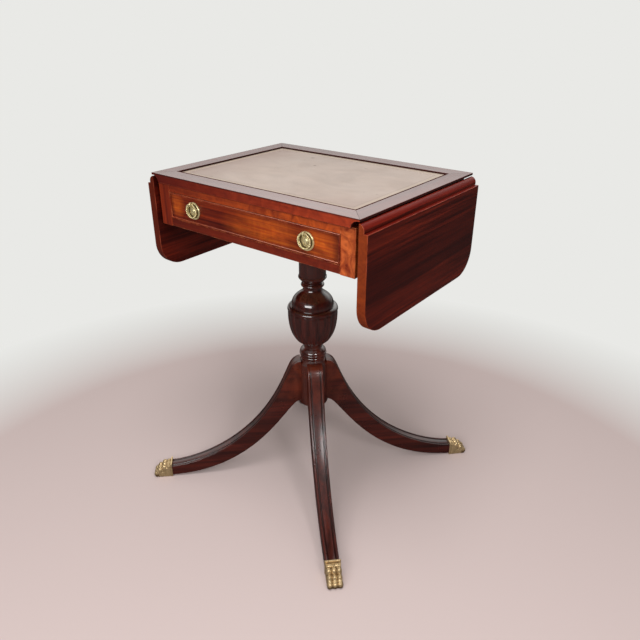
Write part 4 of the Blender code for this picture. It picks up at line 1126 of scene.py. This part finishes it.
# Slotted screws that hold the leaf plates and the cleat
screw = dict(
    radius=3 * mm, taper=0.2 * mm, rise=0.35 * mm, slot=0.8 * mm, slotDepth=0.6 * mm, firstTurn=0.7,
    nextTurn=1.9,
    leafPlaces=((0, 8 * mm), (-9 * mm, 20 * mm), (9 * mm, 20 * mm)),  # across and up the plate
    cleatPlace=(68 * mm, 54 * mm))


def screwHead(values):
    form = bmesh.new()
    bmesh.ops.create_cone(form, cap_ends=True, segments=24, radius1=values["radius"],
                          radius2=values["radius"] - values["taper"], depth=values["rise"] * 3)
    moveBy(form, form.verts, (0, 0, -values["rise"] * 0.5))
    half = values["slot"] / 2
    for place in (-half, half):
        everything = form.verts[:] + form.edges[:] + form.faces[:]
        bmesh.ops.bisect_plane(form, geom=everything, dist=samePoint, plane_co=(0, place, 0),
                               plane_no=(0, 1, 0))
    strip = [face for face in form.faces
             if face.normal.z > 0.9 and abs(face.calc_center_median().y) < half]
    sunk = bmesh.ops.extrude_face_region(form, geom=strip)
    moved = [item for item in sunk["geom"] if isinstance(item, bmesh.types.BMVert)]
    bmesh.ops.delete(form, geom=strip, context="FACES")
    moveBy(form, moved, (0, 0, -values["slotDepth"]))
    return form


def screwRow(values, name, places, facingTo, finish, body):
    row = bmesh.new()
    aim = Vector((0, 0, 1)).rotation_difference(Vector(facingTo)).to_matrix().to_4x4()
    for index, place in enumerate(places):
        head = screwHead(values)
        spin = Matrix.Rotation(values["firstTurn"] + values["nextTurn"] * index, 4, "Z")
        bmesh.ops.transform(head, verts=head.verts, matrix=Matrix.Translation(place) @ aim @ spin)
        mesh = bpy.data.meshes.new("screwHead")
        head.to_mesh(mesh)
        head.free()
        row.from_mesh(mesh)
        bpy.data.meshes.remove(mesh)
    addPiece(name, row, finish, body, ())


for side, sign in zip(sides, (-1, 1)):
    for end in ends:
        low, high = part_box(f"{side}_{end}_hinge_leaf_plate")
        inner = low.x if sign > 0 else high.x
        middle = (low.y + high.y) / 2
        places = [Vector((inner, middle + across, low.z + up)) for across, up in screw["leafPlaces"]]
        screwRow(screw, f"leafScrews_{side}_{end}", places, (-sign, 0, 0), brass, f"{side}_leaf_body")
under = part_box("column_cleat")[0].z
fromMiddle, fromCentre = screw["cleatPlace"]
places = [Vector((sideX * fromMiddle, sideY * fromCentre, under)) for _, sideX, sideY in corners]
screwRow(screw, "cleatScrews", places, (0, 0, -1), steel, "table_frame")
print("stage: hinges and screws built")

# Stage: a plain pale floor that runs out to white, soft lamps and the camera
stageValues = dict(
    floor=tone(207, 189, 186), floorRoughness=0.9, floorSpecular=0.2,
    dimFloor=0.88,  # share of the floor that polished wood doesn't mirror
    dimGlow=0.02, far=tone(233, 233, 230), nearReach=0.9, farReach=1.35, poolShift=(0.2, -0.26, 0),
    skyLight=0.5, roomGlow=0.04, ceilingGlow=0.45, ceilingRise=(0.4, 0.8),
    screenSide=(-0.618, 0.786, 0),  # the pale screen stands behind the table
    screenEdge=0.35, screenMiddle=0.75, screenLow=0.6, screenHigh=1.5, screenRise=(0.2, 0.285))


def mixedShader(share, first, second):
    return addNode("MixShader", {0: share, 1: first, 2: second}).outputs[0]


def buildFloor(values):
    form = bmesh.new()
    bmesh.ops.create_grid(form, x_segments=8, y_segments=8, size=6)
    moveBy(form, form.verts, (0, 0, -0.2 * mm))
    floor = newObject("studioFloor", form)
    material, shader, place = newFinish("paleFloor")
    distance = measured("DISTANCE", place, values["poolShift"])
    far = ranged(distance, values["nearReach"], values["farReach"])
    feedNode(shader, {
        "Base Color": blended(far, values["floor"], values["far"]),
        "Roughness": values["floorRoughness"],
        "Specular IOR Level": values["floorSpecular"],
    })
    white = addNode("Emission", {"Color": values["far"], "Strength": 1.0}, place).outputs[0]
    dim = addNode("Emission", {"Color": values["floor"], "Strength": values["dimGlow"]}, place).outputs[0]
    path = addNode("LightPath", {}, place).outputs
    backdrop = mixedShader(times(far, path["Is Camera Ray"]), shader.outputs[0], white)
    mirrored = mixedShader(times(path["Is Glossy Ray"], values["dimFloor"]), backdrop, dim)
    feedNode(material.node_tree.nodes["Material Output"], {"Surface": mirrored})
    floor.data.materials.append(material)


def buildSky(values):
    world = bpy.data.worlds.new("studioSky")
    bpy.context.scene.world = world
    world.use_nodes = True
    tree = world.node_tree
    direction = tree.nodes.new("ShaderNodeTexCoord").outputs["Generated"]
    path = addNode("LightPath", {}, direction).outputs
    toScreen = measured("DOT_PRODUCT", direction, values["screenSide"])
    screen = ranged(toScreen, values["screenEdge"], values["screenMiddle"], values["roomGlow"], 1.0)
    upward = axisOf(direction, 2)
    ceiling = ranged(upward, *values["ceilingRise"], 0.0, values["ceilingGlow"])
    rise = ranged(upward, *values["screenRise"], values["screenLow"], values["screenHigh"])
    mirrored = maths("MAXIMUM", times(screen, rise), ceiling)
    strength = ranged(path["Is Glossy Ray"], 0.0, 1.0, values["skyLight"], mirrored)
    seen = maths("MAXIMUM", path["Is Camera Ray"], path["Is Transmission Ray"])
    feedNode(tree.nodes["Background"], {
        "Color": values["far"],
        "Strength": ranged(seen, 0.0, 1.0, strength, 1.0),
    })


lamps = {  # place, aim, width, height, watts
    "frontLamp": ((0.45, -1.85, 1.25), (0, 0, 0.5), 1.3, 0.6, 17),
    "windowLamp": ((1.35, -0.66, 1.25), (0, 0, 0.35), 0.28, 0.42, 6),
    "ceilingLamp": ((0.3, -0.6, 2.7), (0, 0, 0.4), 1.1, 1.1, 28),
}


def buildLamps():
    for name, (place, aim, width, height, watts) in lamps.items():
        light = bpy.data.lights.new(name, "AREA")
        light.shape = "RECTANGLE"
        light.size = width
        light.size_y = height
        light.energy = watts
        lamp = link(bpy.data.objects.new(name, light))
        lamp.location = place
        lamp.rotation_euler = (Vector(aim) - Vector(place)).to_track_quat("-Z", "Y").to_euler()
        lamp.visible_glossy = name != "ceilingLamp"  # the top one lights, but isn't mirrored


view = dict(
    azimuth=math.radians(38.15), elevation=math.radians(26.68), distance=1.31709, aimHeight=0.38326,
    aimShift=0.01553, lens=34.453, sensor=36)


def buildCamera(values):
    azimuth = values["azimuth"]
    aim = Vector((math.cos(azimuth), math.sin(azimuth), 0)) * values["aimShift"]
    aim.z = values["aimHeight"]
    level = math.cos(values["elevation"])
    away = Vector((math.sin(azimuth) * level, -math.cos(azimuth) * level, math.sin(values["elevation"])))
    data = bpy.data.cameras.new("photoCamera")
    data.lens = values["lens"]
    data.sensor_width = values["sensor"]
    camera = link(bpy.data.objects.new("photoCamera", data))
    camera.location = aim + away * values["distance"]
    camera.rotation_euler = (-away).to_track_quat("-Z", "Y").to_euler()
    bpy.context.scene.camera = camera


buildFloor(stageValues)
buildSky(stageValues)
buildLamps()
buildCamera(view)
bpy.context.scene.view_settings.view_transform = "Standard"
print("stage: floor, lamps and camera ready")
